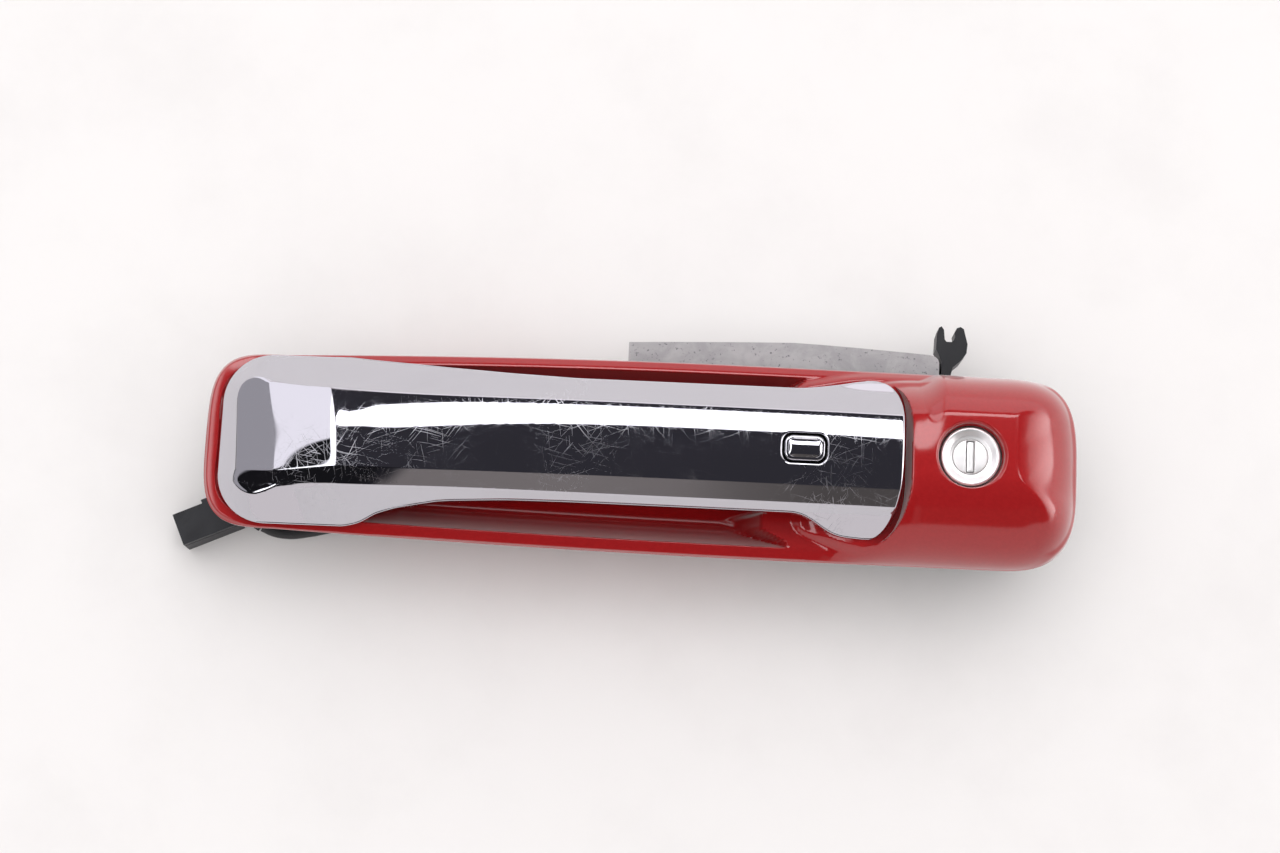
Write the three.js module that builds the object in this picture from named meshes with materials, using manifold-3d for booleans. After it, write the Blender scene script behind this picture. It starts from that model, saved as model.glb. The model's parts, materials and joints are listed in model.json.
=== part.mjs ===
// Exterior pull handle of a car door, with its escutcheon, chassis, lock cylinder and bellcrank.
//
// Millimetres. The handle lies on its back: +Z points out of the door, +X runs along the grip from its
// hinged front end to the lock, and +Y is up on the closed door. Z = 0 of the design frame is the door skin.
// The outer group moves the design frame so that the part stands on Z = 0 with its box centred on the origin.
import * as THREE from 'three';
import { mergeVertices } from 'three/addons/utils/BufferGeometryUtils.js';
import Module from 'manifold-3d';

const wasm = await Module();
wasm.setup();

// ---------------------------------------------------------------- driving dimensions
const GAP = 0.3;
const FINEST = 0.02;
const REST_Z = -30;
const ORIGIN_Y = -9.1;

const BEZEL = {
  leftX: -112, rightX: 108, leftReach: 23.3, rightReach: 27.2, leftPower: 3.75, rightPower: 3.4,
  backZ: 1.5, edgeZ: 2.6, rimWidth: 3.2, wall: 3.2, land: 3.6,
};
const CUP = { rim: 3.9, floorZ: -12, padZ: 3, slope: 12, endX: 47.6, padEndX: -90, floorStartX: -74 };
const CAP = {
  topZ: 27, endX: 135.2, creaseX: 113.4, creaseY: 13.6, bottomY: -8, power: 2.15, startX: 42, fullX: 86,
};
const PEDESTAL = { topZ: 10.9, startX: 52, halfY: 20.5 };
const FLARE = { cornerX: 68.8, reachX: 11, gap: 1.9 };

const LOCK = { x: 100, y: 1, faceZ: 24.2, faceR: 9, mouthR: 10.7, plugR: 5.3, bodyR: 11.3 };
const KEYWAY = { long: 9.9, wide: 2.5, depth: 16 };
const BUTTON = { x: 49.6, y: 0.5, long: 12.3, wide: 7.7, corner: 2.6, gap: 0.65 };

const PIVOT = { x: -122, z: -6, pinR: 2, halfY: 14 };
const CRANK = { y: 27.5, z: -12, pinR: 2 };
const BAR = { fromX: -5.2, toX: 93.4, innerY: 32, bottomZ: -17, topZ: -7 };
const ARM = { fromX: 76, toX: 84, tipY: 0.4, tipR: 2 };
const HOOK = {
  legX: 67, legWide: 7, endX: 80.5, halfY: 5, lipY: 1.2, topZ: -25, bottomZ: -27.8, play: 0.6,
};
const BOSS = {
  outerR: 5.5, insertR: 3.5, threadR: 2.1, places: [[-108, 14], [-108, -14], [112, 16], [112, -16]],
};
const SCREWS = [[-99, 11], [-99, -11], [122, 8.5], [122, -8.5]];
const GLAND = { faceX: -93.5, z: -21.6, outerR: 4, lipR: 5 };
const CORD = { radius: 2.3, exit: [-90.8, 0, -21.6] };
const CONNECTOR = { x: -145.95, y: -26.15, angle: 24.3, long: 19, wide: 10.4, tall: 11 };

// ---------------------------------------------------------------- finishes
const finish = (color, roughness, metalness) => (
  new THREE.MeshStandardMaterial({ color, roughness, metalness }));
const PAINT = finish(0xb01414, 0.15, 0);
const CHROME = finish(0xd8dadd, 0.06, 1);
const NYLON = finish(0x1b1c1e, 0.55, 0);
const ZINC = finish(0x8f9194, 0.5, 0.9);
const STEEL = finish(0xb9bcc0, 0.3, 1);
const STAINLESS = finish(0xd9dadb, 0.22, 1);
const BRASS = finish(0xc39a4a, 0.35, 1);
const RUBBER = finish(0x161616, 0.85, 0);
const FOAM = finish(0x232323, 0.95, 0);
const BOARD = finish(0x1f5a34, 0.5, 0);
const FERRITE = finish(0x3a3a3d, 0.7, 0);
const PLASTIC = finish(0x202123, 0.45, 0);

// ---------------------------------------------------------------- solids and their geometry
const weld = (geometry) => {
  const bare = geometry.clone();
  bare.deleteAttribute('normal');
  bare.deleteAttribute('uv');
  const merged = mergeVertices(bare, 1e-4);
  const index = [];
  const source = merged.index.array;
  for (let i = 0; i < source.length; i += 3) {
    const [a, b, c] = [source[i], source[i + 1], source[i + 2]];
    if (a !== b && b !== c && a !== c) index.push(a, b, c);
  }
  merged.setIndex(index);
  return merged;
};

const solid = (geometry) => {
  const merged = weld(geometry);
  const vertProperties = new Float32Array(merged.attributes.position.array);
  const triVerts = new Uint32Array(merged.index.array);
  return new wasm.Manifold(new wasm.Mesh({ numProp: 3, vertProperties, triVerts }));
};

const join = (...geometries) => geometries.map(solid).reduce((all, next) => all.add(next));
const cut = (body, ...tools) => tools.map(solid).reduce((left, tool) => left.subtract(tool), body);

const geometryOf = (body) => {
  const mesh = body.simplify(FINEST).getMesh();
  const geometry = new THREE.BufferGeometry();
  geometry.setAttribute('position', new THREE.BufferAttribute(new Float32Array(mesh.vertProperties), 3));
  geometry.setIndex(new THREE.BufferAttribute(new Uint32Array(mesh.triVerts), 1));
  return geometry;
};

const fromTriangles = (position) => {
  const geometry = new THREE.BufferGeometry();
  geometry.setAttribute('position', new THREE.BufferAttribute(new Float32Array(position), 3));
  return weld(geometry);
};

// ---------------------------------------------------------------- plain shapes
const box = (x0, x1, y0, y1, z0, z1) => {
  const geometry = new THREE.BoxGeometry(x1 - x0, y1 - y0, z1 - z0);
  return geometry.translate((x0 + x1) / 2, (y0 + y1) / 2, (z0 + z1) / 2);
};

const rodX = (radius, x0, x1, y, z, sides = 16) => {
  const geometry = new THREE.CylinderGeometry(radius, radius, x1 - x0, sides);
  return geometry.rotateZ(Math.PI / 2).translate((x0 + x1) / 2, y, z);
};

const rodY = (radius, y0, y1, x, z, sides = 16) => {
  const geometry = new THREE.CylinderGeometry(radius, radius, y1 - y0, sides);
  return geometry.translate(x, (y0 + y1) / 2, z);
};

const rodZ = (radius, z0, z1, x, y, sides = 20) => {
  const geometry = new THREE.CylinderGeometry(radius, radius, z1 - z0, sides);
  return geometry.rotateX(Math.PI / 2).translate(x, y, (z0 + z1) / 2);
};

// A turned piece about a vertical axis: the profile is [radius, z] and closes on the axis or on itself.
const turned = (profile, x, y, sides = 24) => {
  const points = profile.map(([radius, z]) => new THREE.Vector2(radius, z));
  return new THREE.LatheGeometry(points, sides).rotateX(Math.PI / 2).translate(x, y, 0);
};

const tubeZ = (inner, outer, z0, z1, x, y, sides = 24) => turned(
  [[outer, z0], [outer, z1], [inner, z1], [inner, z0], [outer, z0]], x, y, sides);

const ringX = (inner, outer, x0, x1, y, z, sides = 20) => {
  const geometry = tubeZ(inner, outer, x0, x1, 0, 0, sides);
  return geometry.rotateY(Math.PI / 2).translate(0, y, z);
};

const plate = (shape, z0, z1) => {
  const options = { depth: z1 - z0, bevelEnabled: false, curveSegments: 4 };
  const geometry = new THREE.ExtrudeGeometry(shape, options);
  return geometry.translate(0, 0, z0);
};

const polygon = (points) => new THREE.Shape(points.map(([x, y]) => new THREE.Vector2(x, y)));

// A shape drawn in Y and Z and extruded along X.
const prismX = (points, x0, x1) => {
  const geometry = plate(polygon(points), x0, x1);
  const toYZ = new THREE.Matrix4().set(0, 0, 1, 0, 1, 0, 0, 0, 0, 1, 0, 0, 0, 0, 0, 1);
  return geometry.applyMatrix4(toYZ);
};

const roundedRect = (x, y, long, wide, radius) => {
  const [a, b] = [long / 2, wide / 2];
  const shape = new THREE.Shape();
  shape.moveTo(x - a + radius, y - b);
  shape.lineTo(x + a - radius, y - b);
  shape.absarc(x + a - radius, y - b + radius, radius, -Math.PI / 2, 0);
  shape.lineTo(x + a, y + b - radius);
  shape.absarc(x + a - radius, y + b - radius, radius, 0, Math.PI / 2);
  shape.lineTo(x - a + radius, y + b);
  shape.absarc(x - a + radius, y + b - radius, radius, Math.PI / 2, Math.PI);
  shape.lineTo(x - a, y - b + radius);
  shape.absarc(x - a + radius, y - b + radius, radius, Math.PI, 1.5 * Math.PI);
  return shape;
};

// A skin over a row of closed loops. Without `ring` the first and last loop each close on themselves.
const skin = (loops, ring = false) => {
  const position = [];
  const count = loops[0].length;
  const steps = ring ? loops.length : loops.length - 1;
  for (let k = 0; k < steps; k += 1) {
    const here = loops[k];
    const next = loops[(k + 1) % loops.length];
    for (let i = 0; i < count; i += 1) {
      const j = (i + 1) % count;
      position.push(...here[i], ...here[j], ...next[i]);
      position.push(...here[j], ...next[j], ...next[i]);
    }
  }
  return fromTriangles(position);
};

// A sheet with thickness: rows along X of points across Y, from the +Y edge to the -Y edge.
const sheet = (topRows, bottomRows) => {
  const loops = topRows.map((row, i) => [...row, ...[...bottomRows[i]].reverse()]);
  const last = loops[0].length - 1;
  const position = [];
  const body = skin(loops).toNonIndexed().attributes.position.array;
  for (const value of body) position.push(value);
  for (let k = 0; k < topRows[0].length - 1; k += 1) {
    for (const [loop, front] of [[loops[0], true], [loops.at(-1), false]]) {
      const [a, b, c, d] = [loop[k], loop[k + 1], loop[last - k - 1], loop[last - k]];
      if (front) position.push(...a, ...d, ...b, ...b, ...d, ...c);
      else position.push(...a, ...b, ...d, ...b, ...c, ...d);
    }
  }
  return fromTriangles(position);
};

// ---------------------------------------------------------------- smooth steps and tables
const clamp = (value) => Math.min(1, Math.max(0, value));
const mix = (a, b, t) => a + (b - a) * t;
const ease = (value) => clamp(value) ** 2 * (3 - 2 * clamp(value));
const softMin = (a, b, k) => {
  const h = clamp(0.5 + (b - a) / (2 * k));
  return mix(b, a, h) - k * h * (1 - h);
};
const softMax = (a, b, k) => -softMin(-a, -b, k);

// Reads a column of a short table of [x, value, value, ...] rows, with straight lines between the rows.
const reading = (table, column, x) => {
  const last = table.length - 1;
  if (x <= table[0][0]) return table[0][column];
  if (x >= table[last][0]) return table[last][column];
  const i = table.findIndex((row) => row[0] > x) - 1;
  const t = (x - table[i][0]) / (table[i + 1][0] - table[i][0]);
  return mix(table[i][column], table[i + 1][column], ease(t) * 0.35 + t * 0.65);
};

// ---------------------------------------------------------------- escutcheon surface
const bezelTopY = (x) => (x < 18 ? 30.7 - 3.5 * ((18 - x) / 137) ** 2 : 30.7 - 0.9 * ((x - 18) / 93) ** 2);
const bezelLowY = (x) => -30.5 + (x < 60 ? 3.3 * ((60 - x) / 178) ** 2 : 0);

const endPoint = (angle, x, reach, power) => {
  const [c, s] = [Math.cos(angle), Math.sin(angle)];
  const half = s > 0 ? bezelTopY(x) : -bezelLowY(x);
  const radius = (Math.abs(c / reach) ** power + Math.abs(s / half) ** power) ** (-1 / power);
  return [x + radius * c, radius * s];
};

// The outline as rays: each has its point on the outline and its point on the spine inside it.
const bezelRays = (endSteps, sideX) => {
  const rays = [];
  const turn = (start, x, reach, power) => {
    for (let i = 0; i < endSteps; i += 1) {
      const point = endPoint(start + (Math.PI * i) / endSteps, x, reach, power);
      rays.push({ outer: point, inner: [x, 0] });
    }
  };
  turn(-Math.PI / 2, BEZEL.rightX, BEZEL.rightReach, BEZEL.rightPower);
  for (const x of [...sideX].reverse()) rays.push({ outer: [x, bezelTopY(x)], inner: [x, 0] });
  turn(Math.PI / 2, BEZEL.leftX, BEZEL.leftReach, BEZEL.leftPower);
  for (const x of sideX) rays.push({ outer: [x, bezelLowY(x)], inner: [x, 0] });
  return rays;
};

const capSpread = (x, y) => {
  const crease = CAP.creaseX + 8 * Math.tanh(0.87 * (Math.max(0, 1 - y) / 12.4) ** 2.5);
  const along = Math.max(0, x - crease) / (CAP.endX - crease);
  const up = Math.max(0, y - CAP.creaseY) / (30 - CAP.creaseY);
  const down = Math.max(0, CAP.bottomY - y) / (30.5 + CAP.bottomY);
  const across = Math.max(up, down);
  return (along ** CAP.power + across ** CAP.power) ** (1 / CAP.power);
};

const capHeight = (x, y, outer) => {
  const spread = clamp(capSpread(x, y) / Math.max(0.8, capSpread(...outer)));
  const firm = y > CAP.bottomY ? 0.25 : 0.05;
  const drop = firm * spread + (1 - firm) * (1 - Math.sqrt(1 - spread ** 2.2));
  const grown = ease((x - CAP.startX) / (CAP.fullX - CAP.startX));
  return BEZEL.edgeZ + (CAP.topZ - BEZEL.edgeZ) * (1 - drop) * grown;
};

const crestZ = (x) => mix(4.8, 5.6, ease((x + 110) / 50));

const rimHeight = (x, inset) => {
  const crest = crestZ(x);
  const across = clamp(inset / BEZEL.rimWidth);
  return BEZEL.edgeZ + (crest - BEZEL.edgeZ) * Math.sqrt(1 - (1 - across) ** 2);
};

const cupHeight = (x, inset) => {
  const crest = crestZ(x);
  const open = ease((x - CUP.padEndX) / (CUP.floorStartX - CUP.padEndX));
  const floor = mix(CUP.padZ, CUP.floorZ, open);
  const inside = Math.min(inset - CUP.rim, CUP.endX - x);
  if (inside < 0) return crest - 3 * inside;
  return crest - (crest - floor) * (1 - (1 - clamp(inside / mix(1.2, CUP.slope, open))) ** 2.2);
};

const pedestalHeight = (x, y) => {
  const outside = Math.hypot(Math.max(0, PEDESTAL.startX - x), Math.max(0, Math.abs(y) - PEDESTAL.halfY));
  return PEDESTAL.topZ - 2.2 * outside;
};

const bezelHeight = (x, y, inset, outer) => {
  const crown = softMax(rimHeight(x, inset), capHeight(x, y, outer), 1);
  const dished = softMin(crown, cupHeight(x, inset), 1);
  return softMax(dished, Math.min(crown + 2, pedestalHeight(x, y)), 1.5);
};

// The plan of the grip's flared rear end grown by `grow`, open towards the front from `startX`.
const flareOutline = (startX, grow, steps) => {
  const points = [[startX, -24.3 - grow]];
  for (let i = 0; i <= steps; i += 1) {
    const angle = -Math.PI / 2 + (Math.PI * i) / steps;
    const [c, s] = [Math.cos(angle), Math.sin(angle)];
    const [start, reach, power] = s < 0 ? [-5, 19.3, 2.3] : [9, 15.7, 3];
    const x = FLARE.cornerX + (FLARE.reachX + grow) * Math.abs(c) ** (2 / power);
    points.push([x, start + Math.sign(s) * (reach + grow) * Math.abs(s) ** (2 / power)]);
  }
  points.push([startX, 24.7 + grow]);
  return points;
};

const bezelUnderside = (x, y, inset, outer) => {
  const inPocket = x < FLARE.cornerX + FLARE.reachX + FLARE.gap + 3 && Math.abs(y) < 29;
  const height = bezelHeight(x, y, inset, outer);
  return (inPocket ? Math.min(height, PEDESTAL.topZ) : height) - BEZEL.wall;
};

const ringAt = (rays, inset, height) => rays.map(({ outer, inner }) => {
  const length = Math.hypot(outer[0] - inner[0], outer[1] - inner[1]);
  const t = clamp(inset / length);
  const [x, y] = [mix(outer[0], inner[0], t), mix(outer[1], inner[1], t)];
  return [x, y, height(x, y, inset, outer)];
});

const span = (from, to, count) => Array.from({ length: count }, (_, i) => mix(from, to, i / (count - 1)));

const makeBezel = () => {
  const sideX = [...span(-112, 40, 15), ...span(45, 104, 12)];
  const rays = bezelRays(13, sideX);
  const back = () => BEZEL.backZ;
  const loops = [60, 22, 16, 11, 7, BEZEL.land + 0.4].map((d) => ringAt(rays, d, bezelUnderside));
  loops.push(ringAt(rays, BEZEL.land, back), ringAt(rays, 0, back));
  const insets = [0, 1, BEZEL.rimWidth, CUP.rim, 5.5, 8, 11, 14.5, 19, 24, 60];
  loops.push(...insets.map((d) => ringAt(rays, d, bezelHeight)));
  const pocket = plate(polygon(flareOutline(40, FLARE.gap, 14)), PEDESTAL.topZ, 45);
  const legWindow = box(-128, -114.5, -9, 9, -20, 12);
  const hookWindow = box(64, 77, -7, 7, -10, 20);
  const lockMouth = turned(
    [[0, -10], [9.4, -10], [9.4, 23.4], [9.9, 25.2], [LOCK.mouthR, 26.2], [12, 29], [0, 29]], LOCK.x, LOCK.y);
  const lockBore = rodZ(11.6, -10, 20.5, LOCK.x, LOCK.y, 24);
  const shell = cut(solid(skin(loops)), pocket);
  const bosses = SCREWS.map(([x, y]) => rodZ(3.5, -9, x < 0 ? 1.5 : 20.2, x, y, 12));
  const bossHoles = SCREWS.map(([x, y]) => rodZ(1.8, -9.5, x < 0 ? 0.2 : 4.5, x, y, 10));
  const withBosses = bosses.map(solid).reduce((all, next) => all.add(next), shell);
  return geometryOf(cut(withBosses, legWindow, hookWindow, lockMouth, lockBore, ...bossHoles));
};

const makeGasket = () => {
  const rays = bezelRays(10, [...span(-112, 104, 18)]);
  const level = (z) => () => z;
  const loops = [[0.6, 0], [0.6, 1.2], [3.3, 1.2], [3.3, 0]].map(([d, z]) => ringAt(rays, d, level(z)));
  return skin(loops, true);
};

// ---------------------------------------------------------------- grip surface
// Rows along X. Columns: +Y edge, +Y foot, upper crease, lower crease, lower step, -Y foot, -Y edge.
const GRIP_Y = [
  [-130.3, 26.5, 20, 15.8, -11, -14, -20, -26.5], [-112, 26.5, 22.8, 15.3, -12, -16, -22.5, -26.5],
  [-93, 26.6, 22.8, 13.8, -10.6, -15.8, -22.5, -26.5], [-88, 26.6, 22.6, 13.4, -10.7, -15.8, -22.2, -26.5],
  [-82, 25.8, 22.3, 13, -10.8, -15.8, -20.9, -23.2], [-75, 25, 22, 12.6, -10.8, -15.7, -19.6, -21.3],
  [-60, 23.5, 21.6, 12.3, -10.7, -15.5, -17.9, -18.7], [-40, 22, 21.2, 12.2, -10.5, -15.4, -17.2, -17.7],
  [-20, 21.1, 20.8, 12.2, -10.5, -15.4, -17.1, -17.5], [50, 21.1, 20.8, 12.2, -10.5, -15.4, -17.1, -17.6],
  [60, 22.8, 21, 12.2, -10.5, -15.4, -17.3, -23.4], [68, 24.6, 21, 12.2, -10.5, -15.4, -17.3, -24.1],
  [80, 24.7, 21, 12.2, -10.5, -15.4, -17.3, -24.1],
];
// Heights of the same columns, and of the crown between the creases. The flange cuts these at the front.
const GRIP_Z = [
  [-130.3, 11.4, 11.4, 11.4, 11.4, 11.4, 11.4, 11.4, 0], [-124, 14, 14, 14, 14.2, 14, 14, 14, 0.1],
  [-112, 17.9, 17.9, 17.9, 19.9, 17.6, 17.6, 17.6, 0.3], [-93, 7.6, 12.2, 22.8, 25.2, 22.3, 13.1, 7.6, 2],
  [-88, 8, 12.9, 23.3, 25.5, 22.5, 13.8, 7.9, 2], [-82, 9.6, 13.6, 24.2, 25.8, 22.7, 15.5, 12.3, 2],
  [-75, 11.4, 14.8, 25.1, 26.1, 22.9, 17, 14.5, 2], [-60, 14.2, 16.4, 26.2, 26.4, 23, 18.2, 17, 1.9],
  [-40, 16.8, 17.8, 27.2, 26.2, 22.8, 18.6, 17.8, 2.1], [-20, 18, 18.6, 27.8, 26, 22.6, 18.6, 18, 2.3],
  [0, 18, 18.6, 28, 25.8, 22.4, 18.6, 18, 2.4], [20, 18, 18.6, 28, 25.8, 22.4, 18.6, 18, 2.4],
  [50, 18, 18.6, 27.6, 25.4, 22, 18.6, 18, 2.4], [60, 17, 18.6, 27.4, 25.2, 21.8, 18.2, 13, 2.4],
  [68, 16.2, 18.4, 27, 24.9, 21.5, 18, 12.4, 2.4], [80, 16, 18.2, 26.4, 24.4, 21, 17.8, 12.2, 2.4],
];
const GRIP_STATIONS = [
  -130.3, -129, -127, -124, -120, -116, -112, -106, -100, -96, -93, -88, -82, -75, -68, -60, -50, -40, -20,
  0, 20, 42, 50, 55, 60, 64, 68, 72, 75, 78, 80,
];
const FLANGE = {
  startX: -130.3, midX: -112, endX: -93, startZ: 6.7, endZ: 7.6,
  startSteep: 1.15, upSteep: [0.99, 1.19], lowSteep: [1.03, 1.36],
};
const NOSE = { x: -115, y: 11.2, radius: 15.3, halfY: 26.5 };
const SKIRT = { front: 0.9, rear: 3, lowest: 11.3 };
const COVER_WALL = 2.4;

const gripFrontX = (y) => NOSE.x - Math.sqrt(NOSE.radius ** 2 - Math.max(0, Math.abs(y) - NOSE.y) ** 2);

const gripRearX = (y, grow) => {
  const [start, reach, power] = y < 0 ? [5, 19.3, 2.3] : [9, 15.7, 3];
  const across = clamp(Math.max(0, Math.abs(y) - start) / reach);
  return FLARE.cornerX + (FLARE.reachX + grow) * (1 - across ** power) ** (1 / power);
};

// Where station `x` puts a point at `y`: the first and last stations follow the curved ends.
const gripX = (x, y) => {
  if (x < -113) return mix(gripFrontX(y), -113, (x + 130.3) / (130.3 - 113));
  if (x > 68) return mix(68, gripRearX(y, 0), (x - 68) / 12);
  return x;
};

const gripLine = (x, y, z) => [gripX(x, y), y, z];

// How far a point is inside the rounded front end and the straight sides behind it.
const noseInset = (x, y) => (x > NOSE.x
  ? NOSE.halfY - Math.abs(y)
  : NOSE.radius - Math.hypot(x - NOSE.x, Math.max(0, Math.abs(y) - NOSE.y)));

// The steep flange that runs round the front end, wherever it is lower than the grip's top.
const underFlange = (x, [y, z]) => {
  if (x > FLANGE.endX) return [y, z];
  const [mid, end] = y > 0 ? FLANGE.upSteep : FLANGE.lowSteep;
  const rim = mix(FLANGE.startZ, FLANGE.endZ, (x - FLANGE.startX) / (FLANGE.endX - FLANGE.startX));
  const steep = x < FLANGE.midX
    ? mix(FLANGE.startSteep, mid, (x - FLANGE.startX) / (FLANGE.midX - FLANGE.startX))
    : mix(mid, end, (x - FLANGE.midX) / (FLANGE.endX - FLANGE.midX));
  return [y, Math.min(z, rim + steep * Math.max(0, noseInset(gripX(x, y), y)))];
};

const gripTopRow = (x) => {
  const ys = [1, 2, 3, 4, 5, 6, 7].map((column) => reading(GRIP_Y, column, x));
  const zs = [1, 2, 3, 4, 5, 6, 7].map((column) => reading(GRIP_Z, column, x));
  const crown = reading(GRIP_Z, 8, x);
  const row = [[ys[0], zs[0]], [ys[1], zs[1]], [(ys[1] + ys[2]) / 2, (zs[1] + zs[2]) / 2], [ys[2], zs[2]]];
  for (const t of [0.25, 0.5, 0.75]) {
    row.push([mix(ys[2], ys[3], t), mix(zs[2], zs[3], t) + crown * 4 * t * (1 - t)]);
  }
  row.push([ys[3], zs[3]], [ys[4], zs[4]], [(ys[4] + ys[5]) / 2, (zs[4] + zs[5]) / 2], [ys[5], zs[5]]);
  row.push([ys[6], zs[6]]);
  return row.map((point) => underFlange(x, point));
};

const heightOn = (row, y) => {
  const i = Math.max(0, row.findIndex((point, k) => k < row.length - 1 && row[k + 1][0] <= y));
  const t = (y - row[i][0]) / (row[i + 1][0] - row[i][0]);
  return mix(row[i][1], row[i + 1][1], clamp(t));
};

const coverInnerRow = (x, row) => {
  const skirt = mix(SKIRT.front, SKIRT.rear, ease((x + 100) / 30));
  const skirtZ = (edgeZ) => Math.max(edgeZ - skirt, x > 52 ? SKIRT.lowest : 0);
  const [high, low] = [row[0][0], row.at(-1)[0]];
  const [highZ, lowZ] = [skirtZ(row[0][1]), skirtZ(row.at(-1)[1])];
  const floor = (y) => mix(highZ, lowZ, (high - y) / (high - low));
  const inner = [high - 2.4, ...row.slice(3, 9).map(([y]) => y), low + 2.4];
  const lid = inner.map((y) => [y, Math.max(floor(y), heightOn(row, y) - COVER_WALL)]);
  return [[high, highZ], [high - 2.1, floor(high - 2.1)], ...lid, [low + 2.1, floor(low + 2.1)], [low, lowZ]];
};

const makeGripCover = () => {
  const top = GRIP_STATIONS.map((x) => gripTopRow(x).map(([y, z]) => gripLine(x, y, z)));
  const bottom = GRIP_STATIONS.map((x) => coverInnerRow(x, gripTopRow(x)).map(([y, z]) => gripLine(x, y, z)));
  const shell = solid(sheet(top, bottom));
  const hole = plate(
    roundedRect(BUTTON.x, BUTTON.y, BUTTON.long + 2 * BUTTON.gap, BUTTON.wide + 2 * BUTTON.gap, 3.2), 22, 40);
  const rearWall = join(box(76.2, 78.6, -10, 9, 14, 23.4), box(76.2, 78.6, -4, 9, 20, 25.9));
  return geometryOf(cut(shell.add(rearWall), hole));
};

// Half widths and underside of the inner shell: x, +Y side, -Y side, side bottom z, middle bottom z.
const CORE = [
  [-117, 14, -13, 6.2, 6], [-93, 17.5, -16.5, 6.4, 6.4], [-75, 18.6, -17.2, 10, 8],
  [-55, 18.2, -15.8, 13.6, 10], [-20, 17.4, -14.2, 14.6, 11], [50, 17.4, -14.2, 14.6, 12.2],
  [66, 18, -14.2, 13.4, 13.2], [74.5, 18, -14.2, 13.4, 13.2],
];

const makeGripCore = () => {
  const stations = [CORE[0][0], ...GRIP_STATIONS.filter((x) => x >= -113 && x <= 68), CORE.at(-1)[0]];
  const fractions = [0, 0.12, 0.3, 0.5, 0.7, 0.88, 1];
  const top = [];
  const bottom = [];
  for (const x of stations) {
    const row = gripTopRow(x);
    const [high, low, side, middle] = [1, 2, 3, 4].map((column) => reading(CORE, column, x));
    const ys = fractions.map((t) => mix(high, low, t));
    const inside = (y) => Math.max(side + 1, heightOn(row, y) - COVER_WALL - 1);
    top.push(ys.map((y) => [x, y, inside(y)]));
    bottom.push(ys.map((y, i) => [x, y, mix(side, middle, Math.sin(Math.PI * fractions[i]) ** 0.6)]));
  }
  const frontLeg = join(
    box(PIVOT.x - 4, PIVOT.x + 4, -7, 7, PIVOT.z, 6.5), rodY(4, -7, 7, PIVOT.x, PIVOT.z, 16),
    box(PIVOT.x - 4, -112, -7, 7, 4.6, 6.5));
  const rearLeg = join(
    box(HOOK.legX, HOOK.legX + HOOK.legWide, -HOOK.halfY, HOOK.halfY, HOOK.bottomZ, 14),
    box(HOOK.legX, HOOK.endX, -HOOK.halfY, HOOK.lipY, HOOK.bottomZ, HOOK.topZ));
  const body = solid(sheet(top, bottom)).add(frontLeg).add(rearLeg);
  return geometryOf(cut(
    body, rodY(PIVOT.pinR + GAP, -9, 9, PIVOT.x, PIVOT.z, 16),
    box(-90, -32, -6.5, 6.5, 14.5, 40), box(-24, 62, -9, 9, 16, 40),
    rodZ(1.8, 0, 16.5, -102, 0, 10), rodZ(3.4, 0, 9, -102, 0, 12),
    rodZ(1.8, 0, 40, 65.4, -10, 10), rodZ(3.2, 0, 15.6, 65.4, -10, 12)));
};

// ---------------------------------------------------------------- button and electronics
const makeButton = () => {
  const flange = plate(roundedRect(BUTTON.x, BUTTON.y, BUTTON.long, BUTTON.wide, BUTTON.corner), 25.4, 28.9);
  const dome = plate(roundedRect(BUTTON.x, BUTTON.y, BUTTON.long - 1.6, BUTTON.wide - 1.6, 2), 28.5, 29.7);
  const stem = rodZ(1.4, 23.9, 26, BUTTON.x, BUTTON.y, 12);
  return geometryOf(join(flange, dome, stem));
};

const makeButtonSeal = () => {
  const outer = plate(roundedRect(BUTTON.x, BUTTON.y, 15, 10.4, 3), 22.6, 23.6);
  return geometryOf(cut(solid(outer), rodZ(1.9, 20, 26, BUTTON.x, BUTTON.y, 12)));
};

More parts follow.
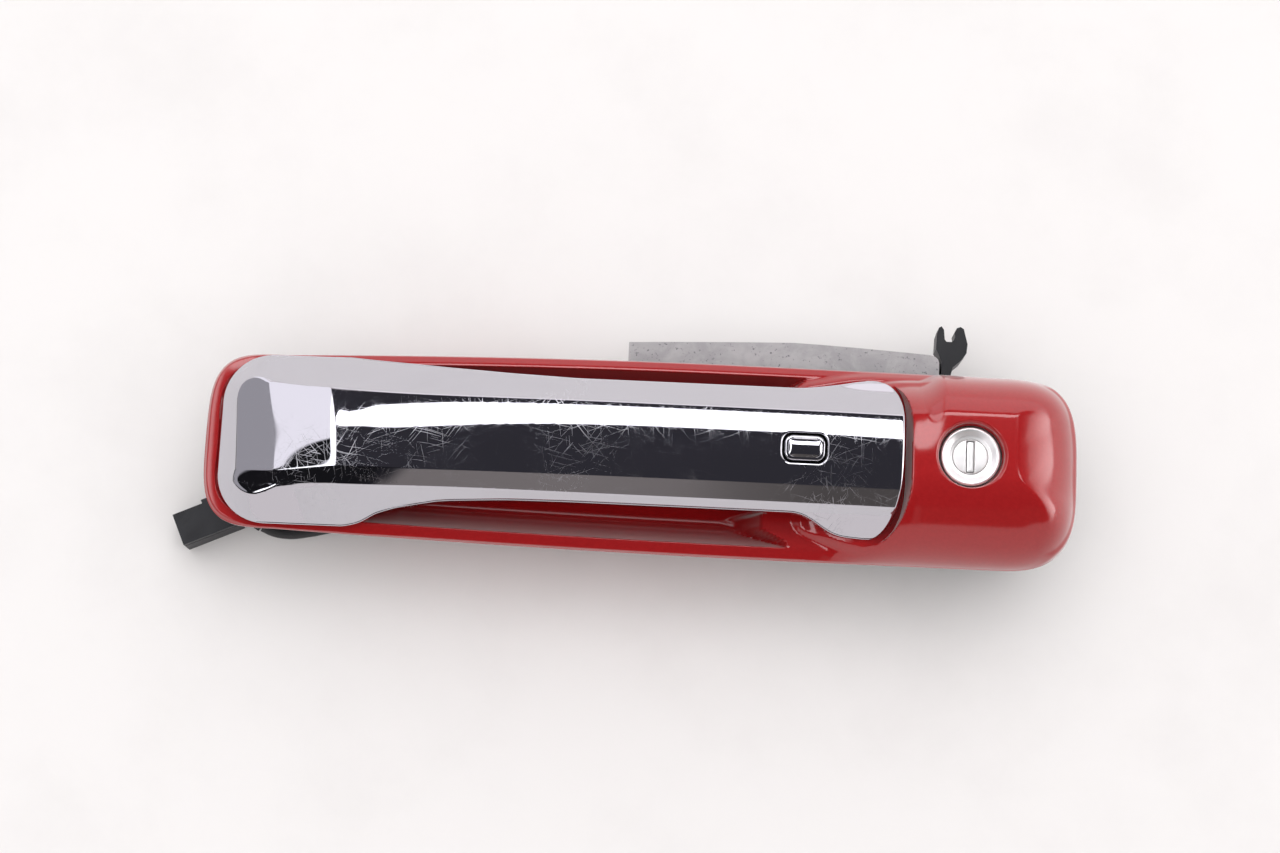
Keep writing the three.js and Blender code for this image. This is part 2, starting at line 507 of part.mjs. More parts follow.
// ---------------------------------------------------------------- chassis
const makeChassis = () => {
  const front = box(-118, GLAND.faceX, -19, 19, -24, -0.6);
  const pivotBlock = box(-130, -117, -19, 19, -18.4, -0.6);
  const spine = box(-94, 62, -14, 14, -19, -15.7);
  const ribs = [13, -15].map((y) => box(-94, 62, y, y + 2, -22.5, -15.7));
  const rear = box(56, 127, -20, 20, -21.5, -1.2);
  const bossPosts = BOSS.places.map(([x, y]) => rodZ(BOSS.outerR, REST_Z, -18, x, y, 24));
  const gland = box(GLAND.faceX - 8, GLAND.faceX, -6, 6, -26.2, -18);
  const underCup = [[12, -19], [12, -16], [19, -16], [24.8, -9], [27.5, -8], [27.5, -16], [22, -19]];
  const besideCap = [[18, -16], [18, -8], [27.5, -8], [27.5, -16]];
  const ears = [[-27, -23, underCup], [60, 65, besideCap], [86, 90, besideCap]].map(([x0, x1, web]) => join(
    rodX(4, x0, x1, CRANK.y, CRANK.z, 16), prismX(web, x0, x1)));
  const body = [front, pivotBlock, spine, ...ribs, rear, ...bossPosts, gland].map(solid).concat(ears);
  const whole = body.reduce((all, next) => all.add(next));
  const bossHoles = BOSS.places.map(([x, y]) => rodZ(BOSS.insertR, REST_Z - 1, -20.6, x, y, 24));
  const screwWells = SCREWS.map(([x, y]) => rodZ(4.1, -9.6, 0, x, y, 16));
  const screwHoles = SCREWS.map(([x, y]) => rodZ(1.9, -22, 0, x, y, 10));
  const screwSinks = SCREWS.map(([x, y]) => rodZ(3.2, -26, -16, x, y, 16));
  return geometryOf(cut(
    whole, box(-128.4, -113, -9, 9, -30, 5),
    rodY(PIVOT.pinR + GAP, -PIVOT.halfY - 0.4, 20, PIVOT.x, PIVOT.z, 16),
    box(63.5, 85.4, -8, 30, -30, 5), box(59.6, 66.6, -6.4, 6.4, -15, 5),
    rodZ(LOCK.bodyR + GAP, -30, 5, LOCK.x, LOCK.y, 24), box(86.7, 113.3, -14, 6.3, -11.7, -8.3),
    rodX(GLAND.outerR + GAP, GLAND.faceX - 9, -88, 0, GLAND.z, 20),
    rodX(GLAND.lipR + GAP, GLAND.faceX, -88, 0, GLAND.z, 20),
    rodX(CRANK.pinR + GAP, -30, 95, CRANK.y, CRANK.z, 16),
    box(BAR.fromX - 2, 59.5, 22.5, 60, -30, 5), box(90.4, 130, 21.5, 60, -30, 5),
    ...bossHoles, ...screwWells, ...screwHoles, ...screwSinks));
};

const makeInsert = ([x, y]) => tubeZ(BOSS.threadR, BOSS.insertR - GAP, REST_Z + 0.4, -21, x, y, 20);

const makeScrew = ([x, y]) => {
  const tipZ = x < 0 ? -0.1 : 4;
  const profile = [[0, -18.6], [2.7, -18.6], [2.7, -16.4], [1.5, -16.4], [1.5, tipZ - 0.3], [0, tipZ]];
  return turned(profile, x, y, 12);
};

// ---------------------------------------------------------------- bellcrank
const barEdge = () => {
  const outline = new THREE.Shape();
  outline.moveTo(BAR.fromX, BAR.innerY);
  outline.lineTo(BAR.toX, BAR.innerY);
  outline.lineTo(BAR.toX, 36.4);
  outline.quadraticCurveTo(93, 38.8, 89.9, 38.9);
  outline.quadraticCurveTo(66, 40.4, 47.5, 40.9);
  outline.quadraticCurveTo(20, 40.1, BAR.fromX, 38.8);
  return outline;
};

const makeBellcrank = () => {
  const bar = solid(plate(barEdge(), BAR.bottomZ, BAR.topZ));
  const lugs = [[-3.4, 4], [50, 56], [76, 84]].map(([x0, x1]) => join(
    rodX(4.4, x0, x1, CRANK.y, CRANK.z, 18), box(x0, x1, CRANK.y, BAR.innerY + 1, -16.4, -7.6)));
  const tipY = ARM.tipY;
  const tipZ = HOOK.topZ + HOOK.play + ARM.tipR;
  const arm = prismX([
    [CRANK.y - 1, CRANK.z + 4], [CRANK.y - 3.4, CRANK.z - 3], [tipY + 4, tipZ - 0.2],
    [tipY, tipZ - 1], [tipY - 1, tipZ], [tipY, tipZ + ARM.tipR]], ARM.fromX, ARM.toX);
  const tip = rodX(ARM.tipR, ARM.fromX, ARM.toX, tipY, tipZ, 14);
  const whole = lugs.reduce((all, next) => all.add(next), bar).add(join(arm, tip));
  return geometryOf(cut(
    whole, rodX(CRANK.pinR + GAP, -30, 95, CRANK.y, CRANK.z, 16), rodX(2.3, 87, 95, 35.4, CRANK.z, 14)));
};

const makeSpring = () => ringX(2.7, 4, 10, 30, CRANK.y, CRANK.z, 20);

const makeRodClip = () => {
  const outline = polygon([
    [94.2, 32.8], [94.2, 37.2], [93.2, 39.6], [92.4, 41.2], [92.6, 46.2], [93.2, 48.2], [94, 48.7],
    [94.8, 47.6], [95.1, 44.4], [95.7, 43.7], [97.3, 43.7], [98, 44.3], [98.4, 45.3], [98.2, 46.9],
    [98.9, 48.3], [100.1, 48.7], [101.1, 48.1], [101.7, 45.8], [102.4, 43.2], [102.1, 40.2],
    [100.3, 37.6], [97.8, 35.4], [97.2, 32.8]]);
  const body = plate(outline, CRANK.z - 4, CRANK.z + 4);
  const stub = rodX(2, 87.6, 95, 35.4, CRANK.z, 14);
  return geometryOf(join(body, stub));
};

const makePinClip = (x) => ringX(CRANK.pinR - 0.2, 3.4, x, x + 0.8, CRANK.y, CRANK.z, 16);

const makeCrankPin = () => {
  const grooves = [-28.1, 90.9].map((x) => ringX(CRANK.pinR - 0.5, 3, x, x + 1.4, CRANK.y, CRANK.z, 16));
  return geometryOf(cut(solid(rodX(CRANK.pinR, -29.4, 93, CRANK.y, CRANK.z, 16)), ...grooves));
};

// ---------------------------------------------------------------- lock
const makeLockHousing = () => turned([
  [LOCK.plugR + GAP, -19.6], [LOCK.bodyR - 1.5, -19.6], [LOCK.bodyR - 1.5, -11.8], [LOCK.bodyR - 3, -11.8],
  [LOCK.bodyR - 3, -8.2], [LOCK.bodyR, -8.2], [LOCK.bodyR, 19.8], [LOCK.faceR, 19.8], [LOCK.faceR, 20.2],
  [LOCK.plugR + GAP, 20.2], [LOCK.plugR + GAP, -19.6]], LOCK.x, LOCK.y, 24);

const makeLockFace = () => turned([
  [LOCK.plugR + GAP, 20.5], [LOCK.faceR, 20.5], [LOCK.faceR, LOCK.faceZ - 0.3],
  [LOCK.faceR - 0.4, LOCK.faceZ], [LOCK.faceR - 0.9, LOCK.faceZ], [LOCK.plugR + 0.8, LOCK.faceZ - 1.1],
  [LOCK.plugR + GAP, LOCK.faceZ - 1], [LOCK.plugR + GAP, 20.5]], LOCK.x, LOCK.y, 28);

const makeLockPlug = () => {
  const barrel = turned([
    [0, -26.6], [2.2, -26.6], [2.2, -21.4], [LOCK.plugR, -21.4], [LOCK.plugR, LOCK.faceZ - 1.2],
    [LOCK.plugR - 0.3, LOCK.faceZ - 0.9], [0, LOCK.faceZ - 0.9]], LOCK.x, LOCK.y, 28);
  const [halfX, halfY] = [KEYWAY.wide / 2, KEYWAY.long / 2];
  const slot = box(
    LOCK.x - halfX, LOCK.x + halfX, LOCK.y - halfY, LOCK.y + halfY, LOCK.faceZ - KEYWAY.depth, 30);
  return geometryOf(cut(solid(barrel), slot, tubeZ(1.7, 3, -26, -25.2, LOCK.x, LOCK.y, 16)));
};

const makeShutter = () => box(
  LOCK.x - 0.95, LOCK.x + 0.95, LOCK.y - 4.6, LOCK.y + 4.6, LOCK.faceZ - 2, LOCK.faceZ - 1.3);

const makeTailLever = () => {
  const hub = rodZ(4, -24.8, -22, LOCK.x, LOCK.y, 20);
  const blade = box(LOCK.x - 2.6, LOCK.x + 2.6, LOCK.y - 11, LOCK.y, -24.8, -22);
  const tip = rodZ(2.6, -24.8, -22, LOCK.x, LOCK.y - 11, 16);
  return geometryOf(cut(join(hub, blade, tip), rodZ(2.2 + GAP, -26, -20, LOCK.x, LOCK.y, 20)));
};

const makeTailClip = () => tubeZ(2, 3.6, -25.9, -25.3, LOCK.x, LOCK.y, 16);

const makeRetainer = () => {
  const fork = box(LOCK.x - 13, LOCK.x + 13, -13.3, 6, -11.4, -8.6);
  return geometryOf(cut(
    solid(fork), rodZ(LOCK.bodyR - 2.7, -20, 0, LOCK.x, LOCK.y, 24),
    box(LOCK.x - 8.6, LOCK.x + 8.6, LOCK.y, 8, -20, 0), box(LOCK.x - 14, LOCK.x - 11.9, -9.6, 8, -20, 0),
    box(LOCK.x + 11.9, LOCK.x + 14, -9.6, 8, -20, 0)));
};

// ---------------------------------------------------------------- cord
const cordPoints = () => [
  [...CORD.exit], [-83, 0.1, -21.9], [-77, 0.2, -23.2], [-70, 0.3, -25.6], [-63, 0.3, -27.3], [-56, 0, -27.7],
  [-50, -1, -27.7], [-45.2, -4.6, -27.7], [-43.6, -10.2, -27.7], [-45.3, -15.7, -27.7], [-50, -19.2, -27.7],
  [-57, -20.4, -27.7], [-67, -20.6, -27.7], [-78, -20.3, -27.7], [-88, -20.2, -27.7], [-97, -21.2, -27.7],
  [-105, -23, -27.7], [-111, -24, -27.6], [-116, -23.7, -27], [-120, -22.2, -26.2],
].map(([x, y, z]) => new THREE.Vector3(x, y, z));

const ringOf = (radius, sides) => {
  const shape = new THREE.Shape();
  shape.absarc(0, 0, radius, 0, 2 * Math.PI);
  return new THREE.Shape(shape.getPoints(sides / 2).slice(0, -1));
};

const tube = (points, radius, steps, sides) => new THREE.ExtrudeGeometry(
  ringOf(radius, sides), { steps, extrudePath: new THREE.CatmullRomCurve3(points), bevelEnabled: false });

const makeCord = () => weld(tube(cordPoints(), CORD.radius, 30, 8));

// The connector lies on the table, so its pieces are drawn along X and turned into place.
const onTable = (geometry) => {
  const turn = THREE.MathUtils.degToRad(CONNECTOR.angle);
  return geometry.rotateZ(turn).translate(CONNECTOR.x, CONNECTOR.y, REST_Z);
};

const makeConnector = () => {
  const [half, tall] = [CONNECTOR.wide / 2, CONNECTOR.tall];
  const shell = join(
    box(0, CONNECTOR.long, -half, half, 0, tall), box(10, CONNECTOR.long, -half + 2, half + 1.2, 2, tall));
  const mouth = box(-1, 11, -half + 1.3, half - 1.3, 1.3, tall - 1.3);
  const groove = box(-1, CONNECTOR.long + 1, -half - 1, -half + 0.5, tall - 3, tall - 2.4);
  const sealBore = box(15, 30, -4.4, 1.4, 2.2, 8);
  return onTable(geometryOf(cut(shell, mouth, groove, sealBore)));
};

const makeTerminals = () => onTable(geometryOf(join(
  box(9.3, 10.6, -3.4, 3.4, 2.6, 8.4),
  ...[-2.2, 0, 2.2].flatMap((y) => [3.6, 6.8].map((z) => box(3, 9.6, y - 0.35, y + 0.35, z, z + 0.7))))));

const makeBoot = () => {
  const plug = box(15.4, 19.6, -4.1, 1.1, 2.5, 7.7);
  const turn = new THREE.Vector3(-120, -22.2, -26.2);
  onTable(plug);
  const start = new THREE.Vector3(-128.4, -19.9, -24.9);
  const end = turn.clone().add(new THREE.Vector3(-0.35, 0.1, 0.1));
  const path = [start, new THREE.Vector3(-124.6, -20, -25.4), end];
  return geometryOf(join(plug, tube(path, 2.5, 6, 12)));
};

const makeGrommet = () => {
  const body = ringX(CORD.radius + GAP, GLAND.outerR, GLAND.faceX - 7, CORD.exit[0] - GAP, 0, GLAND.z, 20);
  const lip = ringX(
    CORD.radius + GAP, GLAND.lipR, GLAND.faceX + GAP, CORD.exit[0] - GAP, 0, GLAND.z, 20);
  return geometryOf(join(body, lip));
};

// ---------------------------------------------------------------- assembly
const design = new THREE.Group();
design.position.set(0, ORIGIN_Y, -REST_Z);

const add = (name, geometry, material) => {
  const mesh = new THREE.Mesh(geometry, material);
  mesh.name = name;
  design.add(mesh);
};

add('bezel', makeBezel(), PAINT);
add('bezel_gasket', makeGasket(), FOAM);
add('chassis', makeChassis(), NYLON);
BOSS.places.forEach((place, i) => add(`fixing_insert_${i + 1}`, makeInsert(place), BRASS));
SCREWS.forEach((place, i) => add(`bezel_screw_${i + 1}`, makeScrew(place), STEEL));
add('front_pivot_pin', rodY(PIVOT.pinR, -PIVOT.halfY, PIVOT.halfY, PIVOT.x, PIVOT.z, 16), STEEL);
add('grip_bumper', box(60, 66.6, -6, 6, -14.7, -3), RUBBER);

add('grip_cover', makeGripCover(), CHROME);
add('grip_core', makeGripCore(), NYLON);
add('antenna', box(-88, -34, -5, 5, 14.8, 20), FERRITE);
add('circuit_board', box(-22, 60, -8, 8, 16.4, 18), BOARD);
add('micro_switch', box(BUTTON.x - 3, BUTTON.x + 3, BUTTON.y - 3, BUTTON.y + 3, 18.3, 22.3), PLASTIC);
add('button_seal', makeButtonSeal(), RUBBER);
add('lock_button', makeButton(), CHROME);

add('bellcrank', makeBellcrank(), ZINC);
add('bellcrank_pin', makeCrankPin(), STEEL);
[-27.8, 91.2].forEach((x, i) => add(`pin_clip_${i + 1}`, makePinClip(x), STEEL));
add('return_spring', makeSpring(), STEEL);
add('rod_clip', makeRodClip(), PLASTIC);

add('lock_housing', makeLockHousing(), ZINC);
add('lock_face', makeLockFace(), STAINLESS);
add('lock_plug', makeLockPlug(), STAINLESS);
add('keyway_shutter', makeShutter(), STAINLESS);
add('lock_tail_lever', makeTailLever(), STEEL);
add('lock_tail_clip', makeTailClip(), STEEL);
add('lock_retainer', makeRetainer(), STEEL);

add('cable_grommet', makeGrommet(), RUBBER);
add('pigtail', makeCord(), RUBBER);
add('connector', makeConnector(), PLASTIC);
add('connector_terminals', makeTerminals(), STEEL);
add('connector_boot', makeBoot(), RUBBER);

export default design;
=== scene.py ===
"""Looks of an exterior car door handle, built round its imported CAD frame.

Shapes are worked out in millimetres in the handle's design frame: +X along the grip towards the lock, +Y up on the
closed door, +Z out of the door, with Z = 0 on the door skin. place() turns them into the frame's metres.
"""
import json
import math

import bmesh
import bpy
import numpy as np
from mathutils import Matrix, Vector

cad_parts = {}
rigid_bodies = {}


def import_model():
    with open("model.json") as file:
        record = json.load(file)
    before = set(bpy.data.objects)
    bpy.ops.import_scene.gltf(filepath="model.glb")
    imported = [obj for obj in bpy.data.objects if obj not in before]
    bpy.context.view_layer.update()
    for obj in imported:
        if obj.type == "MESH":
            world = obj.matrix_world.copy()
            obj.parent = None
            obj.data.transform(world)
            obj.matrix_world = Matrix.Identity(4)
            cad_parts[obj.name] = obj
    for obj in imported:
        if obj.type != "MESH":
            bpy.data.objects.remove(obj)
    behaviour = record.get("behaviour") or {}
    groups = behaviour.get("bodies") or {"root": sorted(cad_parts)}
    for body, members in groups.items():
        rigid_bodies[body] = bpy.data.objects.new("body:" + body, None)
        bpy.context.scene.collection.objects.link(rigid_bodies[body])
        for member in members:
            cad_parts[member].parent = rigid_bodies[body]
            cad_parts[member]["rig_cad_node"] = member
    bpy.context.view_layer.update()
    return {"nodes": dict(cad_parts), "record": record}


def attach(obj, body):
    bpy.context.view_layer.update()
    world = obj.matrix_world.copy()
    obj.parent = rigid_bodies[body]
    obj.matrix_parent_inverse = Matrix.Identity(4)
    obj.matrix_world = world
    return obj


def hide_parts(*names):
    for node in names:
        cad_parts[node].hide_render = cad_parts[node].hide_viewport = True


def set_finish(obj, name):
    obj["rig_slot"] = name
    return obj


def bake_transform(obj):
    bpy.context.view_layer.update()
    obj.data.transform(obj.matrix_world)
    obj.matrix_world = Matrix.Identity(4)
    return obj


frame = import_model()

scene = bpy.context.scene
MM = 0.001
ORIGIN = np.array([0.0, -9.1, 30.0])

BEZEL = dict(left_x=-112, right_x=108, left_reach=23.3, right_reach=27.2, left_power=3.75, right_power=3.4,
             back_z=1.5, edge_z=2.6, wall=3.2, land=3.6)
CUP = dict(front_rim=4.2, rim=3.8, floor_z=-12, pad_z=3.8, slope=12, end_x=47.6, pad_end_x=-90, floor_start_x=-74)
CAP = dict(top_z=27, end_x=135.2, crease_x=113.4, crease_y=13.6, bottom_y=-8, power=2.15, start_x=42, full_x=86)
PEDESTAL = dict(top_z=10.9, start_x=52, half_y=20.5)
RIGHT_END = (BEZEL["right_x"], BEZEL["right_reach"], BEZEL["right_power"])
LEFT_END = (BEZEL["left_x"], BEZEL["left_reach"], BEZEL["left_power"])
FLARE = dict(corner_x=68.8, reach_x=11, gap=1.9)
# Each side of the flare across the grip: where its curve starts, how far it reaches, and its power.
LOW_FLARE, HIGH_FLARE = (5, 19.3, 2.3), (9, 15.7, 3)
LOCK = dict(x=100, y=1, face_z=24.2, face_r=9, mouth_r=10.7, plug_r=5.3)
KEYWAY = dict(long=9.9, wide=2.5, depth=16)
BUTTON = dict(x=49.6, y=0.5, long=12.3, wide=7.7, corner=2.6, gap=0.65)
CRANK = dict(y=27.5, z=-12)
SCREWS = [(-99, 11), (-99, -11), (122, 8.5), (122, -8.5)]
CORD_DIAMETER = 4.6


def place(points):
    """Design millimetres to the frame's metres."""
    return (np.asarray(points, float).reshape(-1, 3) + ORIGIN) * MM


# ---------------------------------------------------------------- camera
CAMERA_AT = (6.171, -135.898, 752.782)
CAMERA_AZIMUTH = math.radians(2.6)
CAMERA_ELEVATION = math.radians(79)
CAMERA_LENS = 68.95


def make_camera():
    data = bpy.data.cameras.new("camera")
    data.lens = CAMERA_LENS
    data.sensor_width = 36
    data.clip_start = 0.01
    data.clip_end = 50
    camera = bpy.data.objects.new("camera", data)
    scene.collection.objects.link(camera)
    camera.location = place(CAMERA_AT)[0]
    camera.rotation_euler = (math.pi / 2 - CAMERA_ELEVATION, 0, CAMERA_AZIMUTH)
    scene.camera = camera


make_camera()

# ---------------------------------------------------------------- cord route
CORD_ROUTE = [
    (-90.8, 0, -21.6), (-83, 0.1, -21.9), (-77, 0.2, -23.2), (-70, 0.3, -25.6), (-63, 0.3, -27.3), (-56, 0, -27.7),
    (-50, -1, -27.7), (-45.2, -4.6, -27.7), (-43.6, -10.2, -27.7), (-45.3, -15.7, -27.7), (-50, -19.2, -27.7),
    (-57, -20.4, -27.7), (-67, -20.6, -27.7), (-78, -20.3, -27.7), (-88, -20.2, -27.7), (-97, -21.2, -27.7),
    (-105, -23, -27.7), (-111, -24, -27.6), (-116, -23.7, -27), (-120, -22.2, -26.2),
]


def smooth_route(points, steps=8):
    """Catmull-Rom points through a route."""
    pts = np.array(points, float)
    padded = np.vstack([2 * pts[0] - pts[1], pts, 2 * pts[-1] - pts[-2]])
    made = []
    for a, b, c, d in zip(padded, padded[1:], padded[2:], padded[3:]):
        for t in np.arange(steps) / steps:
            made.append(0.5 * (2 * b + (c - a) * t + (2 * a - 5 * b + 4 * c - d) * t ** 2
                               + (3 * b - a - 3 * c + d) * t ** 3))
    made.append(pts[-1])
    return np.array(made)


def make_pigtail():
    line = place(smooth_route(CORD_ROUTE))
    data = bpy.data.curves.new("pigtail_cable", "CURVE")
    data.dimensions = "3D"
    spline = data.splines.new("POLY")
    spline.points.add(len(line) - 1)
    for point, at in zip(spline.points, line):
        point.co = (*at, 1)
        point.radius = CORD_DIAMETER * MM / 2
    data.bevel_depth = 1
    data.bevel_resolution = 5
    data.use_fill_caps = True
    cable = bpy.data.objects.new("pigtail_cable", data)
    scene.collection.objects.link(cable)
    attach(cable, "base")
    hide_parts("pigtail")
    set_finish(cable, "cable_jacket")


make_pigtail()


# ---------------------------------------------------------------- smooth steps and tables
def ease(value):
    value = np.clip(value, 0, 1)
    return value * value * (3 - 2 * value)


def mix(a, b, t):
    return a + (b - a) * t


def soft_min(a, b, k):
    h = np.clip(0.5 + (b - a) / (2 * k), 0, 1)
    return mix(b, a, h) - k * h * (1 - h)


def soft_max(a, b, k):
    return -soft_min(-np.asarray(a, float), -np.asarray(b, float), k)


# ---------------------------------------------------------------- escutcheon surface
def top_y(x):
    return np.where(x < 18, 30.7 - 3.5 * ((18 - x) / 137) ** 2, 30.7 - 0.9 * ((x - 18) / 93) ** 2)


def low_y(x):
    return -30.5 + np.where(x < 60, 3.3 * ((60 - x) / 178) ** 2, 0)


def end_radius(angle, x, reach, power):
    c, s = np.cos(angle), np.sin(angle)
    half = np.where(s > 0, top_y(np.float64(x)), -low_y(np.float64(x)))
    return (np.abs(c / reach) ** power + np.abs(s / half) ** power) ** (-1 / power)


def inset_of(x, y):
    """Distance inwards from the outline, measured towards the spine."""
    side = np.where(y > 0, top_y(x) - y, y - low_y(x))
    right, left = (end_radius(np.arctan2(y, x - end[0]), *end) - np.hypot(x - end[0], y)
                   for end in (RIGHT_END, LEFT_END))
    return np.where(x > RIGHT_END[0], right, np.where(x < LEFT_END[0], left, side))


def outline_beyond(x, y):
    """The outline point that a ray from the spine through (x, y) meets."""
    end_x = RIGHT_END[0]
    angle = np.arctan2(y, x - end_x)
    r = end_radius(angle, *RIGHT_END)
    ox = np.where(x > end_x, end_x + r * np.cos(angle), x)
    oy = np.where(x > end_x, r * np.sin(angle), np.where(y > 0, top_y(x), low_y(x)))
    return ox, oy


def cap_spread(x, y):
    bend = (np.maximum(0, 1 - y) / 12.4) ** 2.5
    crease = CAP["crease_x"] + 8 * np.tanh(0.87 * bend)
    along = soft_max(0, x - crease, 0.8) / (CAP["end_x"] - crease)
    up = soft_max(0, y - CAP["crease_y"], 0.7) / (30 - CAP["crease_y"])
    down = soft_max(0, CAP["bottom_y"] - y, 3) / (30.5 + CAP["bottom_y"])
    across = np.maximum(up, down)
    return (along ** CAP["power"] + across ** CAP["power"]) ** (1 / CAP["power"])


def cap_height(x, y):
    spread = np.clip(cap_spread(x, y) / np.maximum(0.8, cap_spread(*outline_beyond(x, y))), 0, 1)
    width = 3 + 20 * ease((x - 116) / 8)
    firm = mix(0.3, 0.25, ease((y - CAP["bottom_y"] - 1.5) / width + 0.5))
    drop = firm * spread + (1 - firm) * (1 - np.sqrt(1 - np.minimum(spread, 0.9995) ** 2.2))
    rise = ease((x - CAP["start_x"]) / (CAP["full_x"] - CAP["start_x"]))
    twist = (0.001 + 0.011 * ease((93 - x) / 8)) * np.maximum(0, y + 0.5) ** 2
    return BEZEL["edge_z"] + (CAP["top_z"] - BEZEL["edge_z"]) * (1 - drop) * rise - twist


def crest_z(x):
    return mix(4.8, 5.6, ease((x + 110) / 50))


def rim_height(x, y, inset):
    """A steep outer flank, then a flatter band up to the crest: flatter still at the front end."""
    crest = crest_z(x)
    along_side = ease((x + 126) / 12)
    flank = BEZEL["edge_z"] + mix(1.7, np.where(y < 0, 5.0, 2.8), along_side) * inset
    band = crest - mix(0.14, 0.45, along_side) * (3.2 - inset)
    return soft_min(soft_min(flank, band, 0.6), crest, 0.3)


def cup_end(y):
    """Where the cup's right-hand wall starts: square under the grip, slanted out of its shade on both sides."""
    low_side = 9.6 * ease((y + 27) / 7) * ease((-12 - y) / 5)
    return CUP["end_x"] + 1.65 * np.clip(y - 24, 0, 5) - low_side


def cup_height(x, y, inset):
    crest = crest_z(x)
    opened = ease((x - CUP["pad_end_x"]) / (CUP["floor_start_x"] - CUP["pad_end_x"]))
    floor = mix(CUP["pad_z"], CUP["floor_z"], opened)
    rim = mix(CUP["front_rim"], CUP["rim"], ease((x + 125) / 15))
    inside = soft_min(inset - rim, cup_end(y) - x, 2.5)
    reach = mix(1.2, CUP["slope"], opened)
    fall = 1 - (1 - np.clip(inside / reach, 0, 1)) ** 2.2
    return np.where(inside < 0, crest - 3 * inside, crest - (crest - floor) * fall)


def pedestal_height(x, y):
    """The collar round the grip's rear end: it widens with the grip's ears and falls away to the cup."""
    low = -17.4 - 8.4 * ease((x - 42) / 28)
    high = 21.6 + 4.2 * ease((x - 42) / 30)
    beside = np.maximum(0, np.maximum(low - y, y - high))
    outside = np.hypot(0.8 * np.maximum(0, PEDESTAL["start_x"] - x), beside)
    return PEDESTAL["top_z"] - 1.7 * (np.sqrt(outside ** 2 + 1) - 1) - 0.4 * outside


FLARE_SIZE = 13


def flare_distance(x, y):
    """Roughly how far (x, y) lies outside the grip's flared rear end."""
    start, reach, power = (np.where(y > 0, high, low) for high, low in zip(HIGH_FLARE, LOW_FLARE))
    across = np.maximum(0, np.abs(y) - start) / reach
    along = np.maximum(0, x - FLARE["corner_x"]) / FLARE["reach_x"]
    return ((along ** power + across ** power) ** (1 / power) - 1) * FLARE_SIZE


def bezel_body(x, y, cup_edge):
    """Rim and cap, dished by the hand cup with a rounded edge, and the collar round the grip's rear end."""
    inset = inset_of(x, y)
    crown = soft_max(rim_height(x, y, inset), cap_height(x, y), 1)
    dished = soft_min(crown, cup_height(x, y, inset), cup_edge)
    return soft_max(dished, soft_min(crown + 2, pedestal_height(x, y), 2.5), 1.5)


def bezel_height(x, y):
    whole = bezel_body(x, y, 0.55)
    away = flare_distance(x, y) - FLARE["gap"]
    lip = PEDESTAL["top_z"] + 6 + 9 * np.maximum(-0.4, away)
    return np.where(x > 50, soft_min(whole, lip, 1.6), whole)


def bezel_underside(x, y):
    whole = bezel_body(x, y, 1)
    in_pocket = (x < FLARE["corner_x"] + FLARE["reach_x"] + FLARE["gap"] + 3) & (np.abs(y) < 29)
    return np.where(in_pocket, np.minimum(whole, PEDESTAL["top_z"]), whole) - BEZEL["wall"]


def bezel_rays(end_steps, side_x):
    """Outline points and, for each, the spine point inside it, counter-clockwise from the lower right."""
    outer, inner = [], []

    def turn(start, x, reach, power):
        for i in range(end_steps):
            angle = start + math.pi * i / end_steps
            r = float(end_radius(np.float64(angle), x, reach, power))
            outer.append((x + r * math.cos(angle), r * math.sin(angle)))
            inner.append((x, 0))

    turn(-math.pi / 2, *RIGHT_END)
    for x in side_x[::-1]:
        outer.append((x, float(top_y(x))))
        inner.append((x, 0))
    turn(math.pi / 2, *LEFT_END)
    for x in side_x:
        outer.append((x, float(low_y(x))))
        inner.append((x, 0))
    return np.array(outer), np.array(inner)


# ---------------------------------------------------------------- mesh helpers
def new_object(name, points, faces):
    mesh = bpy.data.meshes.new(name)
    mesh.from_pydata([tuple(p) for p in place(points)], [], faces)
    mesh.update()
    obj = bpy.data.objects.new(name, mesh)
    scene.collection.objects.link(obj)
    tidy_mesh(obj)
    mesh.shade_smooth()
    return obj


DOUBLED = 1e-6
NO_AREA = 1e-7


def tidy_mesh(obj):
    """Merges doubled points, drops faces of no area and points every face out."""
    work = bmesh.new()
    work.from_mesh(obj.data)
    bmesh.ops.remove_doubles(work, verts=work.verts, dist=DOUBLED)
    bmesh.ops.dissolve_degenerate(work, edges=work.edges, dist=NO_AREA)
    bmesh.ops.recalc_face_normals(work, faces=work.faces)
    work.to_mesh(obj.data)
    work.free()


def grid_faces(rows, columns, closed=True, first=0):
    """Quads over rows x columns of points. A closed grid joins its last column to its first."""
    faces = []
    for i in range(rows - 1):
        for j in range(columns if closed else columns - 1):
            k = (j + 1) % columns
            a, b = first + i * columns, first + (i + 1) * columns
            faces.append((a + j, a + k, b + k, b + j))
    return faces


def loft(name, loops, ring=False, caps=True):
    """A skin over closed loops of equal length: a ring of loops, or one with flat ends."""
    loops = np.asarray(loops, float)
    rows, columns = loops.shape[:2]
    faces = grid_faces(rows, columns)
    if ring:
        faces += [(a + (rows - 1) * columns, b + (rows - 1) * columns, b, a)
                  for a, b in ((j, (j + 1) % columns) for j in range(columns))]
    elif caps:
        faces += [tuple(range(columns))[::-1], tuple(range((rows - 1) * columns, rows * columns))]
    return new_object(name, loops.reshape(-1, 3), faces)


def lathe(name, profile, x, y, segments=96):
    """A piece turned about a vertical axis. The profile is (radius, z) and starts and ends on the axis or closes."""
    profile = np.asarray(profile, float)
    angles = np.arange(segments) * 2 * math.pi / segments
    loops = [[(x + r * math.cos(a), y + r * math.sin(a), z) for a in angles] for r, z in profile]
    closed = np.allclose(profile[0], profile[-1])
    return loft(name, loops[:-1] if closed else loops, ring=closed, caps=False)


